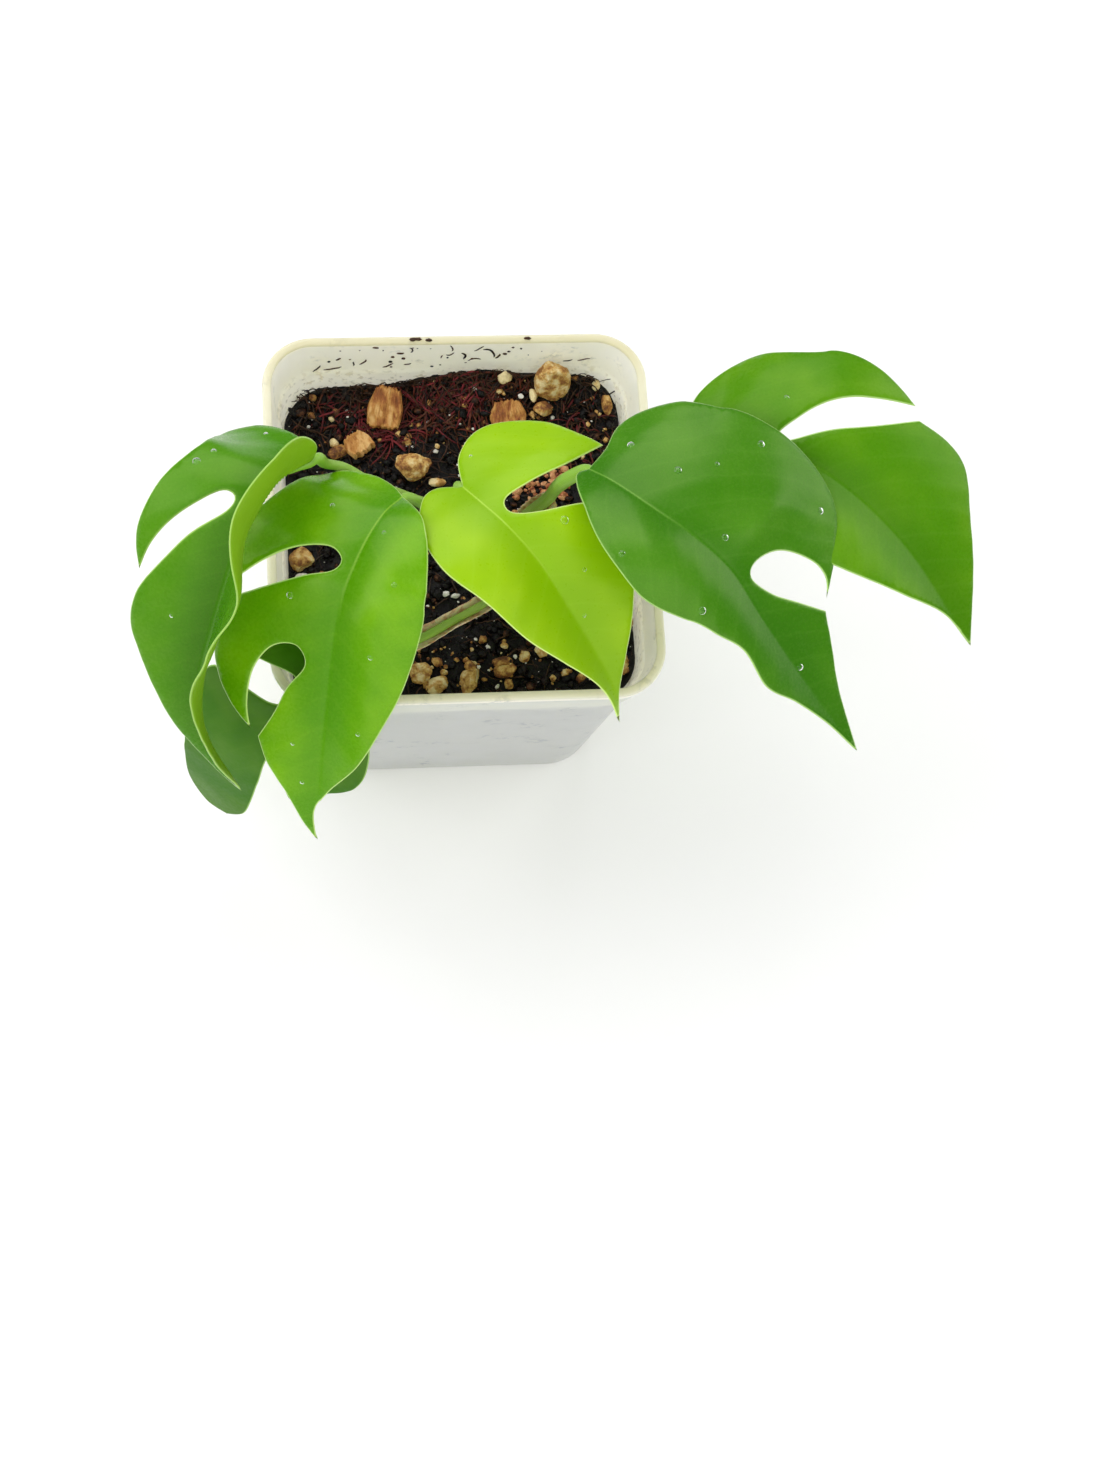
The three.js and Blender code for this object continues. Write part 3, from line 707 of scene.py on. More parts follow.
class SpaceCurve:
    """Smooth curve through points in space, read by the distance along it."""

    samples = 500
    steps = 40

    def __init__(self, points: Sequence[Point]) -> None:
        """Lay the curve.

        Args:
            points: The points that it passes.
        """
        self.line = resample(catmull_rom(np.array(points, float), self.steps, True), self.samples)
        self.run = distances(self.line)
        self.length = float(self.run[-1])
        self.slopes = unit(np.gradient(self.line, axis=0))

    def tangent(self, along: Array) -> Array:
        """Direction of the curve at distances along it."""
        return unit(np.stack([np.interp(along, self.run, column) for column in self.slopes.T], axis=-1))

    def point(self, along: Array) -> Array:
        """Read the curve, which runs straight on beyond both ends.

        Args:
            along: Distances from its start.

        Returns:
            The points.
        """
        inside = np.clip(along, 0, self.length)
        place = np.stack([np.interp(inside, self.run, column) for column in self.line.T], axis=-1)
        return place + self.tangent(inside) * (along - inside)[..., None]


def between(keys: Keys, place: Array) -> Array:
    """Read a value between keys, eased from key to key.

    Args:
        keys: Pairs of place and value, in order.
        place: Where to read.

    Returns:
        The values.
    """
    places, values = np.array(keys).T
    index = np.clip(np.searchsorted(places, place, side="right") - 1, 0, len(places) - 2)
    share = np.clip((place - places[index]) / (places[index + 1] - places[index]), 0, 1)
    share = share * share * (3 - 2 * share)
    return values[index] + (values[index + 1] - values[index]) * share


def inside_outline(points: Array, outline: Array) -> Array:
    """Say which flat points lie inside a closed outline.

    Args:
        points: The points, one to a row.
        outline: The outline's corners, in order.

    Returns:
        True for each point inside.
    """
    x, y = points.T[:, :, None]
    (x0, y0), (x1, y1) = outline.T, np.roll(outline, -1, axis=0).T
    crosses = (y0 > y) != (y1 > y)
    with np.errstate(divide="ignore", invalid="ignore"):
        at = x0 + (y - y0) * (x1 - x0) / (y1 - y0)
    return (crosses & (x < at)).sum(axis=1) % 2 == 1


def distance_to(points: Array, outline: Array) -> Array:
    """Distance from flat points to a closed outline.

    Args:
        points: The points, one to a row.
        outline: The outline's corners, in order.

    Returns:
        The shortest distance of each point.
    """
    ends = np.roll(outline, -1, axis=0)
    sides = ends - outline
    nearest = np.full(len(points), np.inf)
    for start, side in zip(outline, sides):
        share = np.clip(((points - start) @ side) / max(side @ side, 1e-12), 0, 1)
        gap = np.hypot(*(points - start - share[:, None] * side).T)
        np.minimum(nearest, gap, out=nearest)
    return nearest


def fill_outline(outline: Array, inner: Array) -> tuple[Array, Array]:
    """Triangulate a closed outline with further points inside it.

    Args:
        outline: The outline's corners, in order.
        inner: The points inside.

    Returns:
        All flat points, and the triangles, anticlockwise.
    """
    points = [Vector(point) for point in np.vstack([outline, inner])]
    found = delaunay_2d_cdt(points, [], [list(range(len(outline)))], 1, 1e-5)
    flat = np.array([tuple(point) for point in found[0]])
    triangles = np.array([face for face in found[2] if len(face) == 3])
    a, b, c = flat[triangles].transpose(1, 0, 2)
    turned = (b[:, 0] - a[:, 0]) * (c[:, 1] - a[:, 1]) < (b[:, 1] - a[:, 1]) * (c[:, 0] - a[:, 0])
    triangles[turned] = triangles[turned][:, ::-1]
    return flat, triangles


@dataclass(frozen=True)
class Half:
    """One half of a blade: its fold at the midrib in degrees, and its curl in degrees a millimetre."""

    fold: Keys
    curl: Keys


@dataclass(frozen=True)
class Pucker:
    """Soft bump or hollow of a blade: its place, its two half-widths and its height."""

    along: float
    across: float
    reach: float
    width: float
    height: float

    def lift(self, along: Array, across: Array) -> Array:
        """Height of the bump at distances along the midrib and to the left of it."""
        forward, side = along - self.along, across - self.across
        return self.height * np.exp(-(forward / self.reach) ** 2 - (side / self.width) ** 2)


@dataclass(frozen=True)
class Crease:
    """Valley along the midrib: its depth, and its width on the right and on the left half."""

    depth: float
    right: float
    left: float
    start: float = 8.0
    full: float = 24.0

    def lift(self, along: Array, across: Array) -> Array:
        """Sink the blade towards the midrib.

        Args:
            along: Distances along the midrib.
            across: Distances to the left of it.

        Returns:
            The lift there in millimetres, never above zero.
        """
        share = np.clip((along - self.start) / (self.full - self.start), 0, 1)
        width = np.where(across > 0, self.left, self.right)
        return -self.depth * share * share * (3 - 2 * share) * np.exp(-(across / width) ** 2)


@dataclass(frozen=True)
class StalkRoute:
    """Route of a leaf stalk: its node and side on the stem, its radii, and points on its way."""

    node: float
    side: float
    radius: float
    neck: float
    via: tuple[Point, ...]


@dataclass(frozen=True)
class BladePlan:
    """What one leaf is drawn from, as in the CAD model.

    Heading is the way it points, in degrees from the pot's right, and roll turns it about its
    midrib, by share of the length. Each run of its outline starts where the run before it ends,
    and meets it in a sharp corner.
    """

    name: str
    heading: float
    finish: LeafFinish
    slot: str
    rib: tuple[Point, ...]
    left: Half
    right: Half
    runs: tuple[tuple[Flat, ...], ...]
    stalk: StalkRoute
    roll: Keys = ((0, 0), (1, 0))
    crease: Crease = Crease(0.4, 8, 8)
    puckers: tuple[Pucker, ...] = ()
    drops: tuple[Point, ...] = ()


@dataclass(frozen=True)
class BladeDetail:
    """Sizes that all blades share, in millimetres."""

    thickness: float = 0.5
    cell: float = 1.0
    margin_step: float = 0.7
    run_steps: int = 24
    rounding: float = 0.4
    rib_groove: float = 0.12
    rib_keel: float = 0.55
    rib_width: float = 0.45
    rib_fade: float = 1.2
    pucker: float = 0.035
    pucker_start: float = 7.0
    pucker_end: float = 34.0
    pucker_fade: float = 12.0
    wave: float = 0.1
    wave_turns: Flat = (0.16, 0.11)
    near_rows: tuple[float, ...] = (0, 0.35, 0.7, 1.1, 1.6, 2.3, 3.1)
    far_rows: Flat = (4, 36)
    behind: float = 14.0
    beyond: float = 4.0
    row_gap: float = 0.75
    ring_inset: float = 0.8
    ring_gap: float = 0.7
    probe: float = 0.25


DETAIL = BladeDetail()


@dataclass
class Blade:
    """One leaf blade: a bent surface cut to the leaf's outline, with a thin rounded margin."""

    plan: BladePlan

    def __post_init__(self) -> None:
        """Lay the midrib of the leaf that the plan describes."""
        self.curve = SpaceCurve(self.plan.rib)

    def frame_at(self, along: Array) -> tuple[Array, Array, Array]:
        """Read the midrib.

        Args:
            along: Distances from the notch.

        Returns:
            The rib's points, the direction to the left half, and the direction up.
        """
        place = np.clip(along / self.curve.length, 0, 1)
        tangent = self.curve.tangent(place * self.curve.length)
        heading = math.radians(self.plan.heading)
        level = np.array([-math.sin(heading), math.cos(heading), 0])
        left = unit(level - (tangent @ level)[..., None] * tangent)
        up = np.cross(tangent, left)
        roll = np.radians(between(self.plan.roll, place))[..., None]
        rolled = left * np.cos(roll) + up * np.sin(roll)
        return self.curve.point(along), rolled, np.cross(tangent, rolled)

    def bare_surface(self, along: Array, across: Array) -> Array:
        """Middle surface without relief.

        Args:
            along: Distances along the midrib.
            across: Distances to the left of it.

        Returns:
            The points.
        """
        point, left, up = self.frame_at(along)
        place = np.clip(along / self.curve.length, 0, 1)
        on_left = across >= 0
        fold, curl = (np.radians(np.where(on_left, between(a, place), between(b, place))) for a, b in (
            (self.plan.left.fold, self.plan.right.fold), (self.plan.left.curl, self.plan.right.curl)))
        end = fold + curl * np.abs(across)
        sideways = np.sign(across) * (np.sin(end) - np.sin(fold)) / curl
        lift = (np.cos(fold) - np.cos(end)) / curl
        return point + sideways[..., None] * left + lift[..., None] * up

    def relief(self, along: Array, across: Array) -> Array:
        """Lift of both faces by the puckers between the side veins and the plan's own bumps.

        Args:
            along: Distances along the midrib.
            across: Distances to the left of it.

        Returns:
            The lift in millimetres.
        """
        out = np.abs(across)
        phase = along - VEIN_SLANT * out ** VEIN_BEND
        swell = np.clip(out / DETAIL.pucker_start, 0, 1)
        swell = swell * np.clip((DETAIL.pucker_end - out) / DETAIL.pucker_fade, 0, 1)
        lift = DETAIL.pucker * swell * np.cos(2 * math.pi * phase / self.plan.finish.vein_spacing)
        forward, sideways = DETAIL.wave_turns
        lift = lift + DETAIL.wave * np.sin(
            forward * along + sideways * across + len(self.plan.name)) * swell
        for bump in (self.plan.crease, *self.plan.puckers):
            lift = lift + bump.lift(along, across)
        return lift

    def surface(self, along: Array, across: Array) -> tuple[Array, Array]:
        """Middle surface with its normals.

        Args:
            along: Distances along the midrib.
            across: Distances to the left of it.

        Returns:
            The points and the upward normals.
        """
        step = DETAIL.probe
        point = self.bare_surface(along, across)
        inward = np.where(across > 0, -step, step)
        ahead = self.bare_surface(along + step, across) - point
        aside = (self.bare_surface(along, across + inward) - point) * np.sign(inward)[..., None]
        normal = unit(np.cross(ahead, aside))
        return point + self.relief(along, across)[..., None] * normal, normal

    def outline(self) -> Array:
        """Draw the flat outline in even steps along each smooth run.

        Returns:
            The outline's points, anticlockwise.
        """
        pieces, start = [], self.plan.runs[-1][-1]
        for run in self.plan.runs:
            line = catmull_rom(np.array([start, *run], float), DETAIL.run_steps, False)
            count = max(4, round(distances(line)[-1] / DETAIL.margin_step))
            pieces.append(resample(line, count)[:-1])
            start = run[-1]
        ring = np.vstack(pieces)
        ahead = np.roll(ring, -1, axis=0)
        area = (ring[:, 0] * ahead[:, 1] - ahead[:, 0] * ring[:, 1]).sum()
        return ring if area > 0 else ring[::-1]

    def cells(self, outline: Array) -> Array:
        """Points inside the outline: rows along the midrib, closer by it, and a row by the margin.

        Args:
            outline: The blade's outline.

        Returns:
            The flat points.
        """
        rows = [*DETAIL.near_rows, *np.arange(*DETAIL.far_rows, DETAIL.cell)]
        spots = []
        for number, row in enumerate(sorted({-r for r in rows} | set(rows))):
            start = (number % 2) * DETAIL.cell / 2 - DETAIL.behind
            places = np.arange(start, self.curve.length + DETAIL.beyond, DETAIL.cell)
            spots.append(np.stack([places, np.full_like(places, row)], axis=1))
        grid = np.vstack(spots)
        grid = grid[inside_outline(grid, outline)]
        grid = grid[distance_to(grid, outline) > DETAIL.row_gap * DETAIL.cell]
        tangent = np.roll(outline, -1, axis=0) - np.roll(outline, 1, axis=0)
        inward = unit(np.stack([-tangent[:, 1], tangent[:, 0]], axis=1))
        ring = outline + inward * DETAIL.rounding * DETAIL.ring_inset
        ring = ring[inside_outline(ring, outline)]
        ring = ring[distance_to(ring, outline) > DETAIL.rounding * DETAIL.ring_gap]
        return np.vstack([ring, grid])

    def geometry(self) -> Geometry:
        """Build both faces of the blade, which meet in its margin.

        Returns:
            The closed shape, with the blade's coordinates and the underside's mask.
        """
        outline = self.outline()
        flat, triangles = fill_outline(outline, self.cells(outline))
        margin = distance_to(flat, outline)
        along, across = flat.T
        point, normal = self.surface(along, across)
        taper = np.clip(1 - margin / DETAIL.rounding, 0, 1)
        half = DETAIL.thickness / 2 * np.sqrt(1 - taper ** 2)
        place = np.clip(along / self.curve.length, 0, 1)
        rib = np.exp(-(across / DETAIL.rib_width) ** 2) * (1 - place ** 2)
        rib = rib * np.clip(margin / DETAIL.rib_fade, 0, 1)
        upper = point + (half - DETAIL.rib_groove * rib)[:, None] * normal
        lower = point - (half + DETAIL.rib_keel * rib)[:, None] * normal
        on_edge = margin < 1e-3
        count = len(flat)
        below = np.where(on_edge, np.arange(count), np.arange(count) + count)
        vertices = np.vstack([upper, lower])
        coordinates = np.tile(np.stack([along, across, margin], axis=1), (2, 1))
        under = np.repeat([0.0, 1.0], count)
        under[:count][on_edge] = 0.5
        faces = np.vstack([triangles, below[triangles][:, ::-1]])
        used = np.unique(faces)
        renumber = np.zeros(2 * count, int)
        renumber[used] = np.arange(len(used))
        return Geometry(
            vertices[used], renumber[faces],
            attributes={"blade_place": coordinates[used], "underside": under[used]})

    def build(self) -> None:
        """Make the blade's piece."""
        node = f"leaf_{self.plan.name}"
        make_piece(f"{node}_blade", self.geometry(), self.plan.finish.build(), self.plan.slot, node)


def ring_faces(rings: int, sides: int) -> Array:
    """Four-sided faces that join rings of points one after the other.

    Args:
        rings: How many rings there are.
        sides: How many points each has.

    Returns:
        The faces, which point out where the rings turn anticlockwise about their way.
    """
    ring, side = np.meshgrid(np.arange(rings - 1), np.arange(sides), indexing="ij")
    here = (ring * sides + side).ravel()
    beside = (ring * sides + (side + 1) % sides).ravel()
    return np.stack([here, beside, beside + sides, here + sides], axis=1)


def sweep(
    curve: SpaceCurve, places: Array, reference: Point, section: Callable[[float], Array],
) -> Geometry:
    """Sweep a section along a curve and close both ends with a fan.

    Args:
        curve: The curve.
        places: Shares of its length where a ring is set, from 0 to 1.
        reference: A direction that the curve never takes, which fixes which way is up.
        section: Gives the outline at a share of the length, x sideways and y up.

    Returns:
        The closed shape, with the share, the turn round the section and a bare third value.
    """
    rings, marks = [], []
    for place in places:
        along = np.array(place * curve.length)
        centre, tangent = curve.point(along), curve.tangent(along)
        side = unit(np.cross(reference, tangent))
        up = np.cross(tangent, side)
        outline = section(float(place))
        rings.append(centre + outline[:, :1] * side + outline[:, 1:] * up)
        turn = np.abs(np.linspace(-1, 1, len(outline), endpoint=False))
        marks.append(np.stack([np.full(len(outline), place), turn, np.zeros(len(outline))], axis=1))
    sides = len(rings[0])
    count = len(rings) * sides
    caps = [rings[0].mean(axis=0), rings[-1].mean(axis=0)]
    here = np.arange(sides)
    after = (here + 1) % sides
    start = np.stack([after, here, np.full(sides, count)], axis=1)
    end = np.stack([here, after, np.full(sides, count + 1)], axis=1)
    end[:, :2] += count - sides
    ends = np.array([[places[0], 0, 0], [places[-1], 0, 0]])
    return Geometry(
        np.vstack([*rings, caps]), np.vstack([start, end]), ring_faces(len(rings), sides),
        {"stalk_place": np.vstack([*marks, ends])})


def circle(sides: int) -> Array:
    """Points of a circle of radius 1."""
    angle = np.linspace(0, 2 * math.pi, sides, endpoint=False)
    return np.stack([np.cos(angle), np.sin(angle)], axis=1)


@dataclass
class Stem:
    """Short stem that leans back to the left, with a ring and a swelling at each node.

    Lengths and places are shares of the stem's length. Each of the bumps is a wave of a height,
    with turns round the stem and along it.
    """

    line: tuple[Point, ...] = ((14.5, -11, 60), (12.5, -10.5, 75), (9.5, -9.5, 88), (7, -9, 97), (5, -9, 105))
    foot: float = 2.7
    top: float = 2.2
    swell: float = 0.5
    swell_length: float = 0.035
    scar_below: float = 0.03
    scar_length: float = 0.008
    scar_height: float = 0.22
    stain_length: float = 0.02
    stain: float = 0.85
    skin: float = 0.1
    bumps: tuple[Point, ...] = ((0.07, 5, 9), (0.05, 9, -14))
    sides: int = 32
    rings: int = 130
    nodes: tuple[float, ...] = ()

    def __post_init__(self) -> None:
        """Lay the stem's line."""
        self.curve = SpaceCurve(self.line)

    def radius(self, place: float) -> float:
        """Radius at a share of the stem's length, swellings included."""
        bulge = max(math.exp(-((place - node) / self.swell_length) ** 2) for node in self.nodes)
        return self.foot + (self.top - self.foot) * place + self.swell * bulge

    def section(self, place: float) -> Array:
        """Draw the stem's outline: a little lumpy, with a sharp scar ring by each node.

        Args:
            place: Share of the stem's length.

        Returns:
            The outline's points.
        """
        scar = max(
            math.exp(-((place - node + self.scar_below) / self.scar_length) ** 2) for node in self.nodes)
        ring = circle(self.sides)
        angle = np.arctan2(ring[:, 1], ring[:, 0])
        lumps = sum(high * np.sin(about * angle + along * place) for high, about, along in self.bumps)
        return ring * (self.radius(place) - self.skin + lumps + self.scar_height * scar)[:, None]

    def build(self) -> None:
        """Make the stem's piece, with brown rings at its nodes."""
        shape = sweep(self.curve, np.linspace(0, 1, self.rings), (0, 1, 0), self.section)
        place = shape.attributes["stalk_place"]
        scars = [
            np.exp(-((place[:, 0] - node + self.scar_below) / self.stain_length) ** 2)
            for node in self.nodes]
        place[:, 2] = self.stain * np.max(scars, axis=0)
        make_piece("stem_with_nodes", shape, GREEN_STEM.build(), "stem", "stem")


@dataclass
class Stalk:
    """Leaf stalk from the stem to the keel of its blade, grooved above and thicker at its knee.

    Under holds distances along the midrib, each with the drop below it in neck radii. The knee's
    place and length are shares of under_length, the stretch that runs under the blade.
    """

    blade: Blade
    stem: Stem
    under: Keys = ((-1.6, 1.0), (1.6, 0.9), (5.0, 0.45), (9.0, 0.2))
    top_sink: float = 0.6
    side_sink: float = 0.5
    under_length: float = 11.0
    knee: float = 0.22
    knee_place: float = 1.35
    knee_length: float = 0.6
    foot_share: float = 0.6
    thinnest: float = 0.22
    tip_share: float = 0.25
    channel: float = 0.24
    channel_width: float = 0.42
    channel_end: float = 0.8
    ripple: float = 0.03
    sides: int = 24
    step: float = 0.8

    def __post_init__(self) -> None:
        """Lay the stalk's route from the stem to the keel of the blade."""
        self.plan = self.blade.plan.stalk
        at = np.array(self.plan.node * self.stem.curve.length)
        foot, grain = self.stem.curve.point(at), self.stem.curve.tangent(at)
        if self.plan.node == 1:
            start = foot - self.top_sink * grain
        else:
            start = foot + self.outward(grain) * (self.stem.radius(self.plan.node) - self.side_sink)
        points = [start, *self.plan.via]
        for along, drop in self.under:
            rib, _, up = self.blade.frame_at(np.array(along))
            points.append(rib - up * (DETAIL.thickness / 2 + drop * self.plan.neck))
        self.curve = SpaceCurve(points)

    def outward(self, grain: Array) -> Array:
        """Find the side of the stem that the stalk leaves from.

        Args:
            grain: The stem's own direction there.

        Returns:
            The direction out of the stem's middle.
        """
        side = math.radians(self.plan.side)
        level = np.array([math.cos(side), math.sin(side), 0])
        return unit(level - (level @ grain) * grain)

    def radius(self, place: float) -> float:
        """Size the stalk: a stout foot, a knee below the blade and a taper under it.

        Args:
            place: Share of the stalk's length.

        Returns:
            The radius there.
        """
        blend = min(max(place / self.foot_share, 0), 1)
        blend = blend * blend * (3 - 2 * blend)
        body = self.plan.radius + (self.plan.neck - self.plan.radius) * blend
        under = self.under_length / self.curve.length
        from_knee = 1 - place - self.knee_place * under
        knee = self.knee * math.exp(-(from_knee / (self.knee_length * under)) ** 2)
        taper = min(1.0, ((1 - place) / under) ** 0.6) if place < 1 else 0.0
        return max(self.thinnest, (body + knee) * (self.tip_share + (1 - self.tip_share) * taper))

    def section(self, place: float) -> Array:
        """Draw the stalk's outline: round below, with a shallow channel above.

        Args:
            place: Share of the stalk's length.

        Returns:
            The outline's points.
        """
        ring = circle(self.sides)
        angle = np.arctan2(ring[:, 1], ring[:, 0])
        channel = self.channel * np.exp(-((angle - math.pi / 2) / self.channel_width) ** 2)
        channel = channel * max(0.0, 1 - place / self.channel_end)
        wave = self.ripple * math.sin(31 * place + 2 * self.plan.node)
        return ring * (self.radius(place) * (1 - channel + wave))[:, None]

    def build(self) -> None:
        """Make the stalk's piece."""
        name = self.blade.plan.name
        reference = (0, 1, 0) if self.plan.node == 1 else (0, 0, 1)
        steps = max(40, round(self.curve.length / self.step))
        shape = sweep(self.curve, np.linspace(0, 1, steps), reference, self.section)
        node = f"petiole_{name}"
        make_piece(f"{node}_stalk", shape, PALE_STALK.build(), "leaf_stalk", node)


@dataclass
class Sheath:
    """Papery sheath: a trough under the stalk, whose torn edges flare out to both sides.

    Tears and nicks each hold how many there are along the sheath and how deep they are.
    """

    stalk: Stalk
    start: float
    end: float
    spread: float
    flare: float
    thickness: float = 0.22
    clearance: float = 0.12
    open_from: float = 0.45
    end_rounding: float = 0.35
    tears: Flat = (9.0, 0.22)
    nicks: Flat = (34.0, 0.1)
    waver: float = 0.4
    opening_bend: float = 1.2
    steps: int = 60
    arc: int = 26
    route_points: int = 16

    def section(self, place: float) -> Array:
        """Draw the sheath's outline: two arcs with ragged outer ends.

        Args:
            place: Share of the sheath's own length.

        Returns:
            The outline's points.
        """
        share = self.start + (self.end - self.start) * place
        ends = math.sin(math.pi * min(max(place, 0.02), 0.98)) ** self.end_rounding
        turn = np.linspace(-1, 1, self.arc)
        tear, nick = (
            np.array([noise.noise(Vector((place * often, side, seed))) for side in np.sign(turn) * 3.1])
            for often, seed in ((self.tears[0], self.spread), (self.nicks[0], 1.7)))
        reach = math.radians(self.spread) * ends * (1 + self.tears[1] * tear + self.nicks[1] * nick)
        angle = -math.pi / 2 + turn * reach
        opening = np.clip(np.abs(turn) - self.open_from, 0, 1) / (1 - self.open_from)
        flare = self.flare * opening ** self.opening_bend * (1 + self.waver * tear)
        radius = self.stalk.radius(share) + self.clearance + flare
        across = np.stack([np.cos(angle), np.sin(angle)], axis=1)
        outer = across * (radius + self.thickness)[:, None]
        inner = across * radius[:, None]
        return np.vstack([outer, inner[::-1]])

    def build(self) -> None:
        """Make the sheath's piece."""
        whole = self.stalk.curve
        places = np.linspace(self.start, self.end, self.route_points) * whole.length
        curve = SpaceCurve([tuple(whole.point(np.array(place))) for place in places])
        shape = sweep(curve, np.linspace(0, 1, self.steps), (0, 0, 1), self.section)
        name = self.stalk.blade.plan.name
        make_piece(f"sheath_{name}_paper", shape, DRY_SHEATH.build(), "sheath", f"sheath_{name}")


def rounded_square(half: float, corner: float, side_steps: int, corner_steps: int) -> Array:
    """Points of a square with round corners, seen from above, anticlockwise.

    Args:
        half: Half its width.
        corner: Its corner radius.
        side_steps: Steps along each straight side.
        corner_steps: Steps round each corner.

    Returns:
        The points.
    """
    flat = half - corner
    points = []
    for quarter in range(4):
        turn = quarter * math.pi / 2
        ahead, left = np.array([math.cos(turn), math.sin(turn)]), np.array([-math.sin(turn), math.cos(turn)])
        for share in np.linspace(-1, 1, side_steps, endpoint=False):
            points.append(ahead * half + left * flat * share)
        for angle in np.linspace(0, math.pi / 2, corner_steps, endpoint=False):
            arc = ahead * math.cos(angle) + left * math.sin(angle)
            points.append((ahead + left) * flat + arc * corner)
    return np.array(points)


@dataclass
class NurseryPot:
    """Square tapered pot with a flat lip, an upper band, a step and four drain holes.

    Its height and rim come from the frame.
    """

    height: float
    rim_half: float
    base_half: float = 37.0
    wall: float = 1.2
    floor: float = 1.6
    rim_corner: float = 11.9
    base_corner: float = 12.8
    lip_height: float = 2.0
    lip_width: float = 2.1
    lip_overhang: float = 1.1
    shoulder: float = 71.0
    shoulder_rise: float = 2.0
    shoulder_step: float = 1.1
    band_draft: float = 0.5
    drain_radius: float = 3.2
    drain_reach: float = 22.0
    lip_round: float = 0.6
    mouth_round: float = 0.4
    inner_draft: float = 0.125
    bow: float = 0.22
    side_steps: int = 14
    corner_steps: int = 12
    hole_sides: int = 28
    plate_cell: float = 4.0
    plate_reach: float = 34.0
    hole_margin: float = 1.5
    ledge_rise: float = 1.4
    floor_round: float = 1.2

    @property
    def body_top(self) -> float:
        """Half the outer width of the body just under the band."""
        return self.rim_half - self.lip_overhang - self.band_draft - self.shoulder_step

    def body_half(self, z: float) -> float:
        """Half the outer width of the body at a height."""
        return self.base_half + (self.body_top - self.base_half) * z / self.shoulder

    def corner(self, z: float, inset: float) -> float:
        """Corner radius at a height, of an outline set in from the outer one."""
        return self.base_corner + (self.rim_corner - self.base_corner) * z / self.height - inset

    def ring(self, z: float, half: float, inset: float) -> Array:
        """Draw the pot's outline, its sides bowed out a little, as thin moulded walls are.

        Args:
            z: Height above the base.
            half: Half the outline's width.
            inset: How far it is set in from the outer face.

        Returns:
            The outline's points in space.
        """
        flat = rounded_square(half, self.corner(z, inset), self.side_steps, self.corner_steps)
        up = math.sin(math.pi * min(max(z / self.shoulder, 0), 1)) ** 2
        bowed = flat * (1 + self.bow / half * up * np.cos(math.pi / 2 * flat[:, ::-1] / half) ** 2)
        return np.column_stack([bowed, np.full(len(flat), z)])

    def outer_profile(self) -> list[tuple[float, float, float]]:
        """List the outer rings from the base up to the top of the lip.

        Returns:
            Height, half width and inset of each ring.
        """
        band, lip = self.shoulder + self.shoulder_rise, self.height - self.lip_height
        band_half = self.rim_half - self.lip_overhang
        body = [(z, self.body_half(z), 0.0) for z in np.linspace(1.0, self.shoulder - 0.8, 22)]
        soft = self.lip_round
        foot = [(z, self.base_half - inset, inset) for z, inset in ((0, 0.9), (0.12, 0.45), (0.45, 0.1))]
        band_foot = band_half - self.band_draft
        step = [
            (self.shoulder, self.body_half(self.shoulder - 0.3)), (self.shoulder + 0.5, self.body_top + 0.2),
            (band - 0.6, band_foot - 0.25), (band, band_foot), (band + 0.5, band_foot + 0.03),
            (lip - 1.2, band_half - 0.05), (lip - 0.5, band_half + 0.05), (lip - 0.1, self.rim_half - 0.35),
            (lip + 0.2, self.rim_half - 0.05), (lip + 0.5, self.rim_half)]
        round_lip = [
            (self.height - soft + soft * math.sin(a), self.rim_half - soft + soft * math.cos(a),
             soft - soft * math.cos(a)) for a in np.linspace(0, math.pi / 2, 6)]
        return [*foot, *body, *((z, half, 0) for z, half in step), *round_lip]

    def inner_profile(self) -> list[tuple[float, float, float]]:
        """List the inner rings from the top of the lip down to the floor.

        Returns:
            Height, half width and inset of each ring.
        """
        band, mouth = self.shoulder + self.shoulder_rise, self.rim_half - self.lip_width
        soft = self.mouth_round
        round_mouth = [
            (self.height - soft + soft * math.cos(a), mouth + soft - soft * math.sin(a),
             self.lip_width - soft + soft * math.sin(a)) for a in np.linspace(0, math.pi / 2, 5)]
        ledge = [(band + self.ledge_rise, mouth - 1.2), (band + 0.8, mouth - 1.3), (band + 0.3, mouth - 1.5),
                 (band, self.body_top - self.wall + 0.15), (band - 0.5, self.body_top - self.wall)]
        soft = self.floor_round
        heights = np.linspace(self.shoulder - 1, self.floor + soft, 16)
        body = [(z, self.body_half(z) - self.wall) for z in heights]
        return [
            *round_mouth, (self.height - 3, mouth - 0.3, self.lip_width),
            (self.height - 6, mouth - 0.8, self.lip_width),
            *((z, half, self.lip_width) for z, half in ledge), *((z, half, self.wall) for z, half in body),
            (self.floor + 0.4, self.body_half(self.floor) - self.wall - 0.35, self.wall + 0.35),
            (self.floor, self.body_half(self.floor) - self.wall - soft, self.wall + soft)]

    def drain_centres(self) -> list[Array]:
        """Middles of the four drain holes, seen from above."""
        return [np.array([x, y]) * self.drain_reach for x in (-1, 1) for y in (-1, 1)]

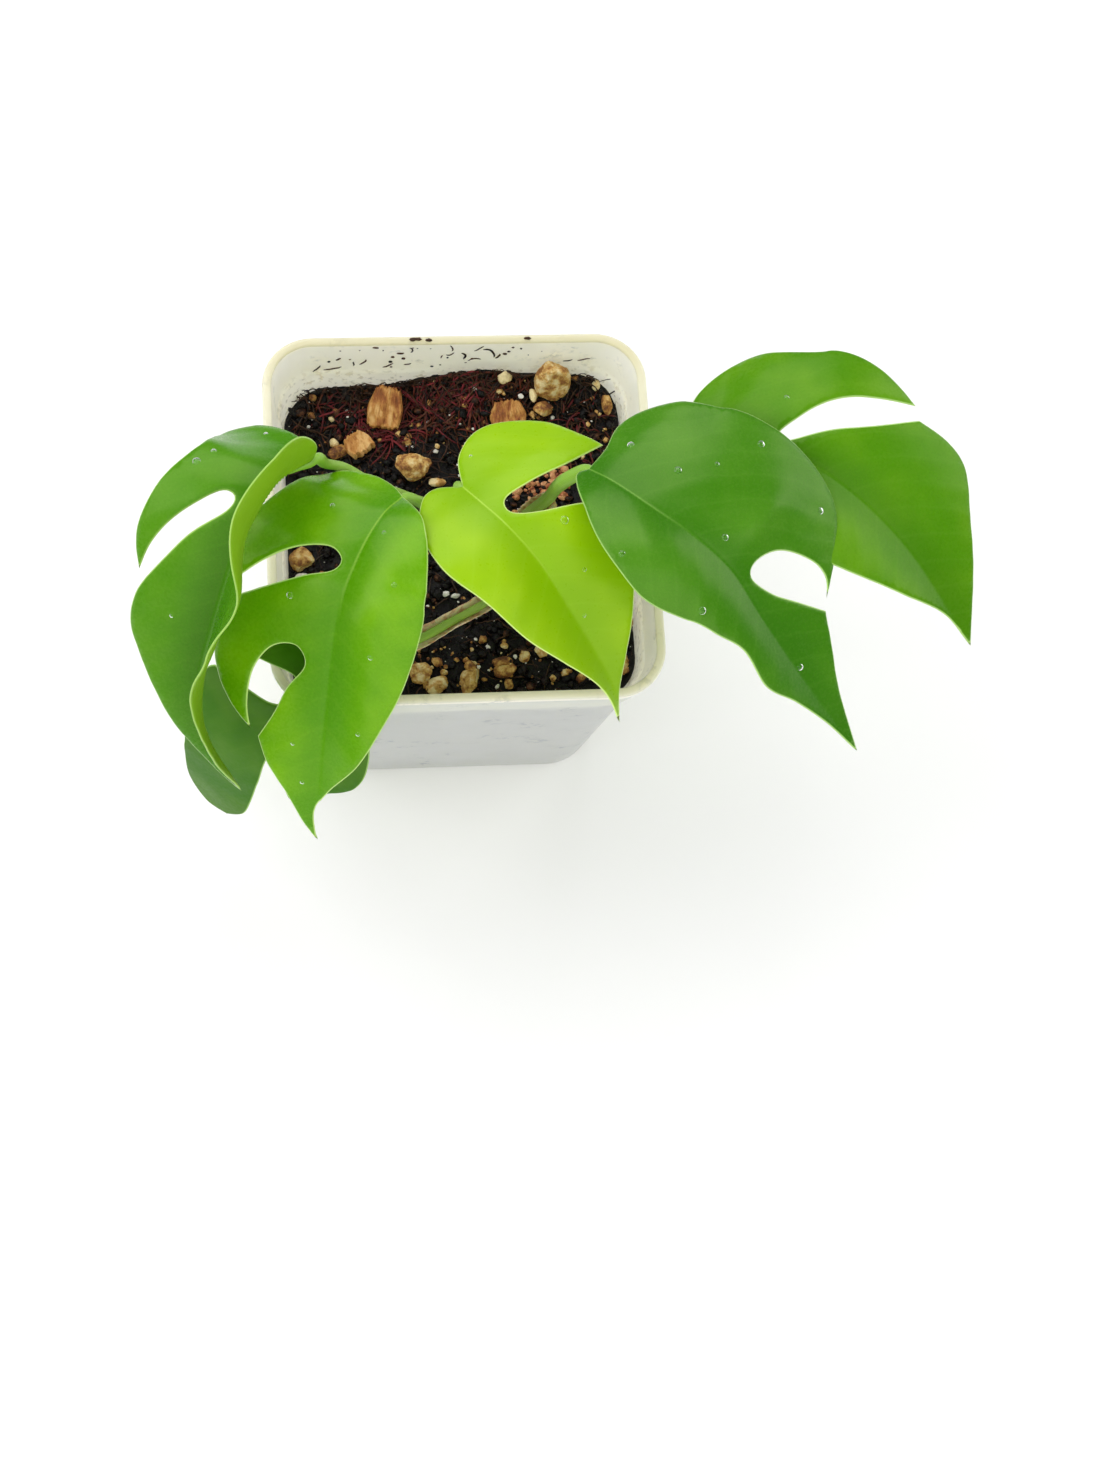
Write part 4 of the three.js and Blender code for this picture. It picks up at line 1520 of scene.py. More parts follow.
    def plate(self, ring: Array) -> Geometry:
        """Close an outline with a flat plate that has the drain holes in it.

        Args:
            ring: The plate's outline, all at one height.

        Returns:
            The plate.
        """
        z = ring[0, 2]
        hole = circle(self.hole_sides) * self.drain_radius
        centres = self.drain_centres()
        rows = np.arange(-self.plate_reach, self.plate_reach + 1, self.plate_cell)
        spots = np.stack(np.meshgrid(rows, rows), axis=-1).reshape(-1, 2)
        clear = distance_to(spots, ring[:, :2]) > self.plate_cell / 2
        spots = spots[inside_outline(spots, ring[:, :2]) & clear]
        for centre in centres:
            spots = spots[np.hypot(*(spots - centre).T) > self.drain_radius + self.hole_margin]
        flat, triangles = fill_outline(ring[:, :2], np.vstack([spots, *(hole + c for c in centres)]))
        middle = flat[triangles].mean(axis=1)
        for centre in centres:
            keep = np.hypot(*(middle - centre).T) > self.drain_radius * 0.97
            triangles, middle = triangles[keep], middle[keep]
        return Geometry(np.column_stack([flat, np.full(len(flat), z)]), triangles)

    def geometry(self) -> Geometry:
        """Build the closed shell.

        Returns:
            The shape, with a mask of its inside.
        """
        outer, inner = self.outer_profile(), self.inner_profile()
        rings = [self.ring(*station) for station in outer + inner]
        walls = Geometry(np.vstack(rings), quads=ring_faces(len(rings), len(rings[0])))
        counts = [len(profile) * len(rings[0]) for profile in (outer, inner)]
        walls.attributes["inside"] = np.repeat([0.0, 1.0], counts)
        parts = [walls]
        for ring, mask in ((rings[0], 0.0), (rings[-1], 1.0)):
            plate = self.plate(ring)
            plate.attributes["inside"] = np.full(len(plate.vertices), mask)
            parts.append(plate)
        hole = circle(self.hole_sides) * self.drain_radius
        for centre in self.drain_centres():
            ends = [np.column_stack([hole + centre, np.full(len(hole), z)]) for z in (0, self.floor)]
            parts.append(Geometry(
                np.vstack(ends), quads=ring_faces(2, len(hole)),
                attributes={"inside": np.zeros(2 * len(hole))}))
        return Geometry.join(parts)

    def build(self) -> None:
        """Make the pot's piece."""
        finish = SATIN_POLYPROPYLENE.build()
        make_piece("nursery_pot", self.geometry(), finish, "pot_plastic", "pot", weld=True)


def unit_sphere(level: int) -> tuple[Array, Array]:
    """Ball of radius 1 from an icosahedron, each level with four times its triangles.

    Args:
        level: How often the triangles are split.

    Returns:
        The points and the triangles.
    """
    work = bmesh.new()
    bmesh.ops.create_icosphere(work, subdivisions=level, radius=1)
    points = np.array([tuple(vertex.co) for vertex in work.verts])
    triangles = np.array([[vertex.index for vertex in face.verts] for face in work.faces])
    work.free()
    return points, triangles


def turned(points: Array, turn: float, tilt: float) -> Array:
    """Points tilted about X and then turned about Z, in degrees."""
    spin = Matrix.Rotation(math.radians(turn), 3, "Z") @ Matrix.Rotation(math.radians(tilt), 3, "X")
    return points @ np.array(spin).T


def rough(points: Array, size: float, amount: float, seed: float) -> Array:
    """Noise at each point, with features of a size and an amount either way that the seed picks."""
    shift = Vector((seed * 7.3, seed * 3.1, -seed * 5.7))
    return amount * np.array([noise.noise(Vector(point) / size + shift) for point in points])


@dataclass(frozen=True)
class Lump:
    """Stone or chip on the soil: where it lies, its three radii, its tint, turn, tilt and name."""

    at: Point
    radii: Point
    tint: float
    turn: float = 0.0
    tilt: float = 0.0
    name: str = ""


FIBRE_FLATNESS = 0.6  # a fibre's thickness as a share of its width
FIBRE_TAPER = 0.6  # the share of its width that it loses at its ends


def thread(line: Array, radius: float, tint: float, facing: Point = (0.05, 0.02, 1.0)) -> Geometry:
    """Draw a thin fibre along a line, flattened a little and pointed at both ends.

    Args:
        line: The fibre's points.
        radius: Its half width in the middle.
        tint: Its tint.
        facing: The direction that its flat side faces.

    Returns:
        The closed fibre.
    """
    sides, steps = 5, len(line)
    slope = unit(np.gradient(line, axis=0) + 1e-6)
    side = unit(np.cross(slope, facing))
    up = np.cross(side, slope)
    thick = radius * (1 - FIBRE_TAPER * np.linspace(-1, 1, steps) ** 4)
    ring = circle(sides)
    body = line[:, None] + thick[:, None, None] * (
        ring[None, :, :1] * side[:, None] + FIBRE_FLATNESS * ring[None, :, 1:] * up[:, None])
    last = (steps - 1) * sides
    fan = np.array([[0, 2, 1], [0, 3, 2], [0, 4, 3]])
    ends = np.vstack([fan, fan[:, ::-1] + last])
    return Geometry(
        body.reshape(-1, 3), ends, ring_faces(steps, sides), {"tint": np.full(steps * sides, tint)})


@dataclass
class Pebbles:
    """The larger stones that lie on the soil: broken, with worn corners and small hollows."""

    lumps: tuple[Lump, ...] = (
        Lump((24, 37.6, 74.6), (4, 3, 5), 0.62, 0, -27, "back"),
        Lump((-10, 18.7, 69.5), (4.2, 3.4, 2.8), 0.5, -10, 0, "left_middle"),
        Lump((-37, -3.4, 66.4), (2.6, 3, 2.4), 0.5, 30, 0, "left_edge"),
        Lump((37.8, -21.6, 68.3), (2.1, 3.6, 2.4), 0.66, 10, 0, "right_edge"),
        Lump((36.3, -31, 67.8), (2.5, 2, 2), 0.55, 30, 0, "right_front"),
        Lump((-10.3, -32.1, 67.6), (2.8, 2.7, 2.2), 0.6, 60, 0, "front_left"),
        Lump((1, -34.6, 68), (2.2, 3.3, 2.2), 0.6, -15, 0, "front_middle"),
        Lump((9.4, -32.4, 67.6), (2.6, 1.7, 1.8), 0.3, 15, 0, "front_right"),
    )

    cuts: int = 9
    cut_depth: Flat = (0.6, 0.92)
    swell: float = 1.1
    hollows: Flat = (0.6, 0.09)
    pits: Flat = (0.16, 0.04)

    def shape(self, lump: Lump, seed: int, level: int = 6) -> Geometry:
        """Knap a ball with flat cuts and roughen it with hollows and pits.

        Args:
            lump: The stone's place and size.
            seed: Picks its own cuts.
            level: How finely the ball is split.

        Returns:
            The stone.
        """
        points, triangles = unit_sphere(level)
        dice = random.Random(seed)
        reach = np.ones(len(points))
        for _ in range(self.cuts):
            face = unit(np.array([dice.gauss(0, 1) for _ in range(3)]))
            depth = dice.uniform(*self.cut_depth)
            facing = np.maximum(points @ face, 1e-3)
            reach = np.minimum(reach, np.where(facing > depth, depth / facing, 1))
        reach = reach * self.swell
        reach = reach + rough(points, *self.hollows, seed) + rough(points, *self.pits, seed)
        body = points * reach[:, None] * np.array(lump.radii)
        body = turned(body, lump.turn, lump.tilt) + np.array(lump.at)
        return tinted(body, triangles, lump.tint)

    def build(self) -> None:
        """Make one piece for each stone."""
        material = PEBBLE.build()
        for seed, lump in enumerate(self.lumps, 1):
            make_piece(f"pebble_{lump.name}", self.shape(lump, seed), material, "stone", f"stone_{lump.name}")


@dataclass
class SmallChips:
    """Chips too small for a part of their own, each where it lies on the soil."""

    pot: NurseryPot
    tan: tuple[Lump, ...] = (
        Lump((37.4, -33.2, 67.6), (1.2, 1.0, 0.9), 0.5, 10),
        Lump((-6.5, -35.6, 67.7), (2.7, 1.9, 1.2), 0.8, 20, 10),
        Lump((1.4, -31.6, 68.4), (1.5, 1.6, 1.2), 0.35),
        Lump((9.1, -30.6, 67.8), (2.4, 1.5, 1.0), 0.12, -8), Lump((14, -29, 67.6), (1.3, 1.5, 1.1), 0.5),
        Lump((18, -28.2, 67.6), (1.3, 1.6, 1.1), 0.72, 30),
        Lump((23.5, -33.2, 67.4), (1.1, 0.9, 0.8), 0.6, 30),
        Lump((27.5, -34.4, 67.4), (0.9, 0.8, 0.8), 0.8), Lump((20.5, -34.6, 67.4), (0.8, 0.8, 0.7), 0.45),
        Lump((-27.6, 23.7, 66.6), (2.3, 1.6, 1.0), 0.2, 25), Lump((21.8, 31.9, 71.2), (2.3, 1.8, 1.5), 0.4),
        Lump((19.2, 34.9, 72.3), (0.9, 1.6, 1.0), 0.95, 10),
        Lump((12.5, 38.6, 75.2), (1.6, 1.7, 1.5), 0.85), Lump((-4.4, 14.9, 68.2), (2.1, 1.1, 0.9), 0.75),
        Lump((37.5, 33.5, 70.5), (1.3, 2.6, 2.0), 0.4), Lump((34.5, 37.6, 71.6), (1.2, 1.3, 1.1), 1.0),
        Lump((30.5, -6.5, 67.4), (1.6, 1.3, 1.2), 0.5, 40), Lump((37.6, -12.6, 67.5), (1.4, 1.9, 1.2), 0.6),
        Lump((-35.5, 9, 65.6), (1.7, 1.4, 1.1), 0.55),
        Lump((-34.5, -20.5, 66.3), (1.9, 1.5, 1.2), 0.62, 50),
        Lump((-24, -29.5, 66.8), (1.6, 1.9, 1.2), 0.5, 10), Lump((14.2, 6.4, 68.1), (1.3, 1.1, 0.9), 0.5),
        Lump((-17.5, 8.2, 67.2), (1.2, 1.0, 0.8), 0.4),
    )
    white: tuple[Lump, ...] = (
        Lump((-37.2, -8.6, 66.6), (2.3, 1.6, 1.4), 0.7, 10),
        Lump((-3.6, -13.1, 67.4), (0.9, 0.7, 0.6), 0.9),
        Lump((-1.3, -13.6, 67.4), (1.1, 0.6, 0.5), 0.6, 20),
        Lump((-5.1, -12.2, 67.4), (0.5, 0.5, 0.4), 0.9), Lump((5.2, 36.5, 73.4), (0.7, 0.7, 0.6), 1.0),
        Lump((16.3, 34.6, 72.6), (0.7, 0.6, 0.6), 1.0),
    )

    def kept_inside(self, lump: Lump) -> Lump:
        """Move a chip towards the pot's middle until it is clear of the wall.

        Args:
            lump: The chip.

        Returns:
            The chip at its final place.
        """
        half = self.pot.body_half(lump.at[2]) - self.pot.wall
        wall = self.pot.ring(lump.at[2], half, self.pot.wall)[:, :2]
        spot = np.array(lump.at[:2], float)
        reach = max(lump.radii[:2]) * 1.1
        while not inside_outline(spot[None], wall)[0] or distance_to(spot[None], wall)[0] < reach:
            spot *= 0.995
        return replace(lump, at=(float(spot[0]), float(spot[1]), lump.at[2]))

    def build(self) -> None:
        """Make one piece of tan chips and one of white ones."""
        maker = Pebbles()
        for name, lumps, finish in (("tan_chips", self.tan, PEBBLE), ("white_chips", self.white, PERLITE)):
            parts = [maker.shape(self.kept_inside(lump), seed, 4) for seed, lump in enumerate(lumps, 50)]
            make_piece(name, Geometry.join(parts), finish.build(), "stone")


@dataclass
class WallDebris:
    """Fibres and crumbs that stick to the pot's back wall and lip, as splashed when planted.

    Each entry holds x, height, length and slope in degrees, and a bend in degrees.
    """

    pot: NurseryPot
    threads: tuple[tuple[float, float, float, float, float], ...] = (
        (7.1, 82.4, 5.2, 8, -70), (5.0, 81.9, 3.0, 25, 30), (-0.3, 82.0, 2.6, 60, 90),
        (-1.6, 80.4, 2.4, -20, 70), (-10.0, 81.7, 2.4, 40, 100), (-13.3, 81.4, 1.8, -10, 50),
        (-19, 84.0, 1.5, 5, 0), (-22, 76.8, 2.8, 30, 60), (-23.4, 76.2, 1.8, 80, 30),
        (-27.6, 78.8, 1.5, 20, 0), (-11.5, 76.4, 1.9, 10, 90), (-2.8, 79.0, 1.3, 70, 0),
        (-30.5, 74.6, 4.5, 12, 60), (-33, 74.2, 3.0, 35, 20),
        (2.6, 78.4, 3.2, 70, 60), (3.8, 77.6, 3.4, 50, -50), (10.2, 78.6, 2.2, 30, 50),
        (-16.5, 75.4, 3.0, 15, 50), (26.5, 76.8, 2.4, 10, 60), (30, 76.9, 3.2, 15, 40),
    )
    on_lip: tuple[Flat, ...] = ((-9.5, 44.0), (-8.2, 44.1), (-5.8, 43.8), (17.5, 43.9))
    specks: int = 24
    reach: float = 30.0
    heights: Flat = (74.8, 84)
    clearance: float = 0.2
    steps: int = 6
    wander: float = 0.35
    radii: Flat = (0.18, 0.32)
    tints: Flat = (0.0, 0.4)
    speck_sizes: Flat = (0.12, 0.52)
    crumb_radii: Point = (0.8, 0.4, 0.3)
    crumb_rise: float = 0.15

    def on_wall(self, x: float, z: float) -> Point:
        """Find a place on the back wall's inner face, with a little clearance.

        Args:
            x: Distance to the right of the pot's middle.
            z: Height above its base.

        Returns:
            The place.
        """
        step = self.pot.shoulder + self.pot.shoulder_rise
        mouth = self.pot.rim_half - self.pot.lip_width
        inner = mouth - self.pot.inner_draft * (self.pot.height - z)
        if z <= step + self.pot.ledge_rise:
            inner = self.pot.body_half(z) - self.pot.wall
        return x, inner - self.clearance, z

    def build(self) -> None:
        """Make the debris' piece."""
        dice = random.Random(31)
        parts = []
        for x, z, length, slope, bend in self.threads:
            line, heading = [], math.radians(slope)
            for _ in range(self.steps + 1):
                line.append(self.on_wall(x, z))
                x += math.cos(heading) * length / self.steps
                z += math.sin(heading) * length / self.steps
                heading += math.radians(bend) / self.steps + dice.uniform(-self.wander, self.wander)
            radius, tint = dice.uniform(*self.radii), dice.uniform(*self.tints)
            parts.append(thread(np.array(line), radius, tint, (0, -1, 0.1)))
        points, triangles = unit_sphere(2)
        least, most = self.speck_sizes
        for _ in range(self.specks):
            spot = self.on_wall(dice.uniform(-self.reach, self.reach), dice.uniform(*self.heights))
            size = least + (most - least) * dice.random() ** 2
            body = points * (1 + rough(points, 0.8, 0.5, dice.randrange(9)))[:, None]
            body = body * size * np.array([dice.uniform(0.8, 1.6), 0.5, dice.uniform(0.7, 1.3)])
            parts.append(tinted(body + np.array(spot), triangles, dice.uniform(*self.tints)))
        for x, y in self.on_lip:
            body = points * (1 + rough(points, 0.7, 0.6, x))[:, None] * np.array(self.crumb_radii)
            body = body + np.array([x, y, self.pot.height + self.crumb_rise])
            parts.append(tinted(body, triangles, 0.2))
        make_piece("wall_debris", Geometry.join(parts), COIR.build(), "soil")


@dataclass
class BarkChips:
    """The larger bark chips: flat slabs with lengthwise fibre and splintered ends.

    Strands, fibre and bumps each hold the size and the depth of their features, in half widths.
    """

    lumps: tuple[Lump, ...] = (
        Lump((-16, 33.2, 70.6), (4.2, 5.2, 1.5), 0.62, -12, 24, "large"),
        Lump((-22.8, 25.2, 67.6), (3.4, 3.2, 1.2), 0.8, 35, -16, "left"),
        Lump((13.2, 31, 70.4), (4.4, 3.4, 1.3), 0.5, 5, 16, "middle"),
    )
    squareness: float = 0.62
    narrowing: float = 0.28
    strands: Flat = (0.16, 0.2)
    fibre: Flat = (0.25, 0.12)
    fibre_stretch: Point = (3.0, 0.6, 1.0)
    fibre_rise: Flat = (0.3, 1.4)
    bumps: Flat = (0.5, 0.25)

    def shape(self, lump: Lump, seed: int) -> Geometry:
        """Press a ball to a slab and split its ends along the fibre.

        Args:
            lump: The chip's place and size.
            seed: Picks its own splinters.

        Returns:
            The chip.
        """
        points, triangles = unit_sphere(6)
        box = points / np.maximum(np.abs(points).max(axis=1), 1e-6)[:, None]
        slab = self.squareness * box + (1 - self.squareness) * points
        x, y, z = slab.T
        strands = rough(slab * [1, 0, 0], *self.strands, seed)
        grain = rough(slab * self.fibre_stretch, *self.fibre, seed + 5)
        edge_rise, face_rise = self.fibre_rise
        body = np.stack([
            x * (1 - self.narrowing * np.clip(y, 0, 1)) + edge_rise * grain,
            y * (1 + strands * np.abs(y)),
            z * (1 + rough(slab, *self.bumps, seed)) + face_rise * grain * np.sign(z)], axis=1)
        body = turned(body * np.array(lump.radii), lump.turn, lump.tilt) + np.array(lump.at)
        return Geometry(body, triangles, attributes={"tint": lump.tint + grain})

    def build(self) -> None:
        """Make one piece for each chip."""
        material = PINE_BARK.build()
        for seed, lump in enumerate(self.lumps, 21):
            chip = self.shape(lump, seed)
            make_piece(f"bark_chip_{lump.name}", chip, material, "bark", f"bark_{lump.name}")


class Fibre(Enum):
    """Kinds of loose fibre in the mix: lowest and highest tint, and radius in millimetres."""

    PEAT = (0.0, 0.25, 0.16)
    RUST = (0.4, 0.6, 0.2)
    MAROON = (0.72, 1.0, 0.22)
    ROOT = (0.28, 0.5, 0.1)


@dataclass(frozen=True)
class FibrePatch:
    """Tangle of one kind of fibre: its middle, its two half-widths and how many fibres it holds."""

    kind: Fibre
    middle: Flat
    spread: Flat
    count: int
    lift: float = 0.9


@dataclass
class PottingMix:
    """Moist peat in the pot, with crumbs, fibres, perlite and small chips on top.

    Mounds holds the height, middle and two half-widths of each mound or hollow of the soil: it is
    heaped against the back wall and in the right back corner, and lower along the left. Clods and
    lumps each hold the size and the depth of their features. A crumb's size is the first of two
    numbers and up to the second on top, and the bias makes most of them small.
    """

    pot: NurseryPot
    level: float = 67.0
    low_level: float = 65.2
    mounds: tuple[tuple[float, Flat, Flat], ...] = (
        (7.0, (10, 43), (21, 12)), (2.6, (6, 43), (24, 5)), (2.6, (37, 40), (9, 8)),
        (-1.8, (-34, 14), (14, 30)))
    waves: float = 0.6
    clods: Flat = (3.2, 0.75)
    lumps: Flat = (1.3, 0.5)
    gap: float = 0.3
    reach: float = 41.0
    cell: float = 0.85
    edge_steps: tuple[int, int] = (60, 10)
    crumbs: int = 3400
    crumb_size: Flat = (0.28, 0.95)
    crumb_bias: float = 3.2
    crumb_lumps: Flat = (0.7, 0.55)
    crumb_tints: tuple[float, ...] = (0.05, 0.15, 0.2, 0.3, 0.45, 0.8)
    fine_crumb: float = 0.5
    # White grains: real perlite, plus more as painted glints of the wet soil.
    grains: int = 300
    grain_lumps: Flat = (0.8, 0.5)
    fibre_steps: int = 6
    fibre_lengths: Flat = (2.2, 8.5)
    fibre_bend: float = 1.4
    fibre_kink: float = 0.12
    fibre_widths: Flat = (0.5, 1.3)
    patches: tuple[FibrePatch, ...] = (
        FibrePatch(Fibre.MAROON, (-24, 33), (6, 5), 60),
        FibrePatch(Fibre.MAROON, (-6, 34), (5, 5.5), 60),
        FibrePatch(Fibre.MAROON, (5.5, 35), (5, 4), 60),
        FibrePatch(Fibre.MAROON, (-15, 27), (4, 3), 60, 1.3),
        FibrePatch(Fibre.MAROON, (30, 27), (5, 6), 30),
        FibrePatch(Fibre.RUST, (-2, 30), (30, 10), 150),
        FibrePatch(Fibre.RUST, (12, 38), (9, 3), 70),
        FibrePatch(Fibre.PEAT, (0, 0), (40, 40), 420),
        FibrePatch(Fibre.PEAT, (0, 30), (38, 12), 420),
        FibrePatch(Fibre.PEAT, (0, 40), (38, 2.5), 300, 1.7),
        FibrePatch(Fibre.ROOT, (-4, 28), (24, 12), 46),
        FibrePatch(Fibre.ROOT, (20, 16), (12, 10), 14),
    )
    dice: random.Random = field(default_factory=lambda: random.Random(9))

    def height(self, x: Array, y: Array) -> Array:
        """Height of the soil.

        Args:
            x: Distances to the right of the pot's middle.
            y: Distances behind it.

        Returns:
            The heights above the pot's base.
        """
        soil = self.level
        for rise, (right, behind), (wide, deep) in self.mounds:
            soil = soil + rise * np.exp(-((x - right) / wide) ** 2 - ((y - behind) / deep) ** 2)
        return soil + self.waves * np.sin(0.21 * x + 1) * np.cos(0.17 * y)

    def outline(self, z: float) -> Array:
        """Outline of the soil against the pot's wall at a height."""
        half = self.pot.body_half(min(z, self.low_level)) - self.pot.wall - self.gap - 0.1
        return rounded_square(half, self.pot.corner(z, self.pot.wall + self.gap), *self.edge_steps)

    def body(self) -> Geometry:
        """Build the soil's closed mass, crumbly on top.

        Returns:
            The shape.
        """
        edge = self.outline(self.level)
        rows = np.arange(-self.reach, self.reach, self.cell)
        x, y = np.meshgrid(rows, rows)
        x = x + (np.arange(len(rows)) % 2)[:, None] * self.cell / 2
        spots = np.stack([x.ravel(), y.ravel()], axis=1)
        spots = spots[inside_outline(spots, edge)]
        spots = spots[distance_to(spots, edge) > 0.6 * self.cell]
        flat, triangles = fill_outline(edge, spots)
        points = np.column_stack([flat, self.height(*flat.T)])
        points[:, 2] += rough(points, *self.clods, 1) + rough(points, *self.lumps, 2) - self.lumps[1] / 2
        rim = points[distance_to(flat, edge) < 1e-3]
        order = [int(np.argmin(np.hypot(*(rim[:, :2] - corner).T))) for corner in edge]
        pot, soft = self.pot, self.pot.floor_round
        low, deep = pot.floor + self.gap, pot.floor + soft + self.gap
        base = rounded_square(
            pot.body_half(0) - pot.wall - soft - self.gap, pot.corner(low, pot.wall + soft + self.gap),
            *self.edge_steps)
        foot = rounded_square(
            pot.body_half(deep) - pot.wall - self.gap, pot.corner(deep, pot.wall + self.gap),
            *self.edge_steps)
        rings = np.vstack([
            np.column_stack([base, np.full(len(base), low)]),
            np.column_stack([foot, np.full(len(foot), deep)]), rim[order]])
        sides = Geometry(rings, quads=ring_faces(3, len(edge)))
        bottom_flat, bottom = fill_outline(base, np.zeros((1, 2)))
        under = Geometry(np.column_stack([bottom_flat, np.full(len(bottom_flat), low)]), bottom)
        parts = [Geometry(points, triangles), sides, under]
        for part in parts:
            part.attributes["tint"] = np.full(len(part.vertices), 0.3)
        return Geometry.join(parts)

    def spots(self, count: int, middle: Flat, spread: Flat, even: bool) -> list[Flat]:
        """Pick places on the soil.

        Args:
            count: How many places are wanted.
            middle: The middle of the patch.
            spread: Its half-widths.
            even: Whether the places are spread evenly and not bunched in the middle.

        Returns:
            The places, all inside the pot.
        """
        edge = self.outline(self.level) * 0.985
        found: list[Flat] = []
        while len(found) < count:
            pair = [self.dice.uniform(-1, 1) if even else self.dice.gauss(0, 0.5) for _ in range(2)]
            spot = (middle[0] + pair[0] * spread[0], middle[1] + pair[1] * spread[1])
            if inside_outline(np.array([spot]), edge)[0]:
                found.append(spot)
        return found

    def crumb_heap(self) -> Geometry:
        """Scatter crumbs of peat over the whole soil.

        Returns:
            The crumbs as one shape.
        """
        dice, kinds = self.dice, []
        for level, count in ((2, 5), (1, 4)):
            points, triangles = unit_sphere(level)
            kinds.append([
                (points * (1 + rough(points, *self.crumb_lumps, seed + 40 * level))[:, None], triangles)
                for seed in range(count)])
        coarse, fine = kinds
        parts = []
        for x, y in self.spots(self.crumbs, (0, 0), (self.reach, self.reach), True):
            size = self.crumb_size[0] + self.crumb_size[1] * dice.random() ** self.crumb_bias
            points, triangles = dice.choice(coarse if size > self.fine_crumb else fine)
            radii = np.array([size * dice.uniform(*most) for most in ((0.7, 1.4), (0.7, 1.2), (0.5, 1))])
            body = turned(points * radii, dice.uniform(0, 360), dice.uniform(-50, 50))
            body = body + np.array([x, y, float(self.height(x, y)) + 0.25 * size + dice.uniform(-0.2, 0.5)])
            parts.append(tinted(body, triangles, dice.choice(self.crumb_tints)))
        return Geometry.join(parts)

    def fibre(self, start: Flat, kind: Fibre, lift: float) -> Geometry:
        """Lay one fibre over the soil in a loose arc.

        Args:
            start: Where it starts.
            kind: Which fibre it is.
            lift: How far it may stand off the soil.

        Returns:
            The fibre.
        """
        dice, steps = self.dice, self.fibre_steps
        low, high, radius = kind.value
        length, heading = dice.uniform(*self.fibre_lengths), dice.uniform(0, 2 * math.pi)
        bend, arch = dice.uniform(-self.fibre_bend, self.fibre_bend), dice.uniform(0.1, lift)
        points, (x, y) = [], start
        limit = self.outline(self.level).max() - 0.8
        for step in range(steps + 1):
            share = step / steps
            ground = float(self.height(np.clip(x, -limit, limit), np.clip(y, -limit, limit)))
            points.append((x, y, ground + 0.15 + arch * math.sin(math.pi * share) * 1.6))
            x = min(max(x + math.cos(heading + bend * share) * length / steps, -limit), limit)
            y = min(max(y + math.sin(heading + bend * share) * length / steps, -limit), limit)
        line = np.array(points)
        kink = self.fibre_kink
        line += np.array([[dice.uniform(-kink, kink) for _ in range(3)] for _ in points])
        return thread(line, radius * dice.uniform(*self.fibre_widths), dice.uniform(low, high))

    def tangles(self) -> Geometry:
        """Lay all the fibre patches.

        Returns:
            The fibres as one shape.
        """
        parts = []
        for patch in self.patches:
            even = patch.kind in (Fibre.PEAT, Fibre.ROOT)
            for spot in self.spots(patch.count, patch.middle, patch.spread, even):
                parts.append(self.fibre(spot, patch.kind, patch.lift))
        return Geometry.join(parts)

    def scattered(
        self, count: int, sizes: Flat, tints: Flat, middle: Flat = (0, 0), spread: Flat = (40, 40),
    ) -> Geometry:
        """Scatter rough grains over the soil.

        Args:
            count: How many grains.
            sizes: Smallest and largest radius.
            tints: Lowest and highest tint.
            middle: The middle of where they lie.
            spread: The half-widths of where they lie.

        Returns:
            The grains as one shape.
        """
        points, triangles = unit_sphere(2)
        dice, parts = self.dice, []
        for number, (x, y) in enumerate(self.spots(count, middle, spread, True)):
            size = sizes[0] + (sizes[1] - sizes[0]) * dice.random() ** 3
            body = points * (1 + rough(points, *self.grain_lumps, number % 9))[:, None]
            radii = np.array([dice.uniform(*most) for most in ((0.8, 1.3), (0.7, 1.1), (0.6, 1))])
            body = body * size * radii
            body = turned(body, dice.uniform(0, 360), dice.uniform(-30, 30))
            body = body + np.array([x, y, float(self.height(x, y)) + 0.5 + 0.3 * size])
            parts.append(tinted(body, triangles, dice.uniform(*tints)))
        return Geometry.join(parts)

    def build(self) -> None:
        """Make the soil and what lies loose on it."""
        peat = MOIST_PEAT.build()
        make_piece("peat_body", self.body(), peat, "soil", "soil", weld=True)
        make_piece("peat_crumbs", self.crumb_heap(), peat, "soil")
        make_piece("coir_fibres", self.tangles(), COIR.build(), "soil")
        # Painted highlights: many of these white grains stand in for wet glints on the soil, and the rest are
        # perlite.
        white = self.scattered(self.grains, (0.12, 0.7), (0.3, 1))
        make_piece("perlite_and_painted_glints", white, PERLITE.build(), "stone")
        grit = [
            self.scattered(150, (0.25, 1.1), (0.1, 0.8)),
            self.scattered(60, (0.3, 1.3), (0.2, 0.9), (12, -30), (26, 6)),
            self.scattered(34, (0.4, 1.3), (0.2, 0.8), (35, -22), (4, 14)),
            self.scattered(40, (0.3, 1.2), (0.2, 0.8), (0, 32), (34, 7))]
        make_piece("tan_grit", Geometry.join(grit), PEBBLE.build(), "stone")
        clay = self.scattered(110, (0.45, 1.15), (0.2, 0.9), (20.3, 14.4), (6.6, 4.2))
        make_piece("clay_granules", clay, FIRED_CLAY.build(), "stone")


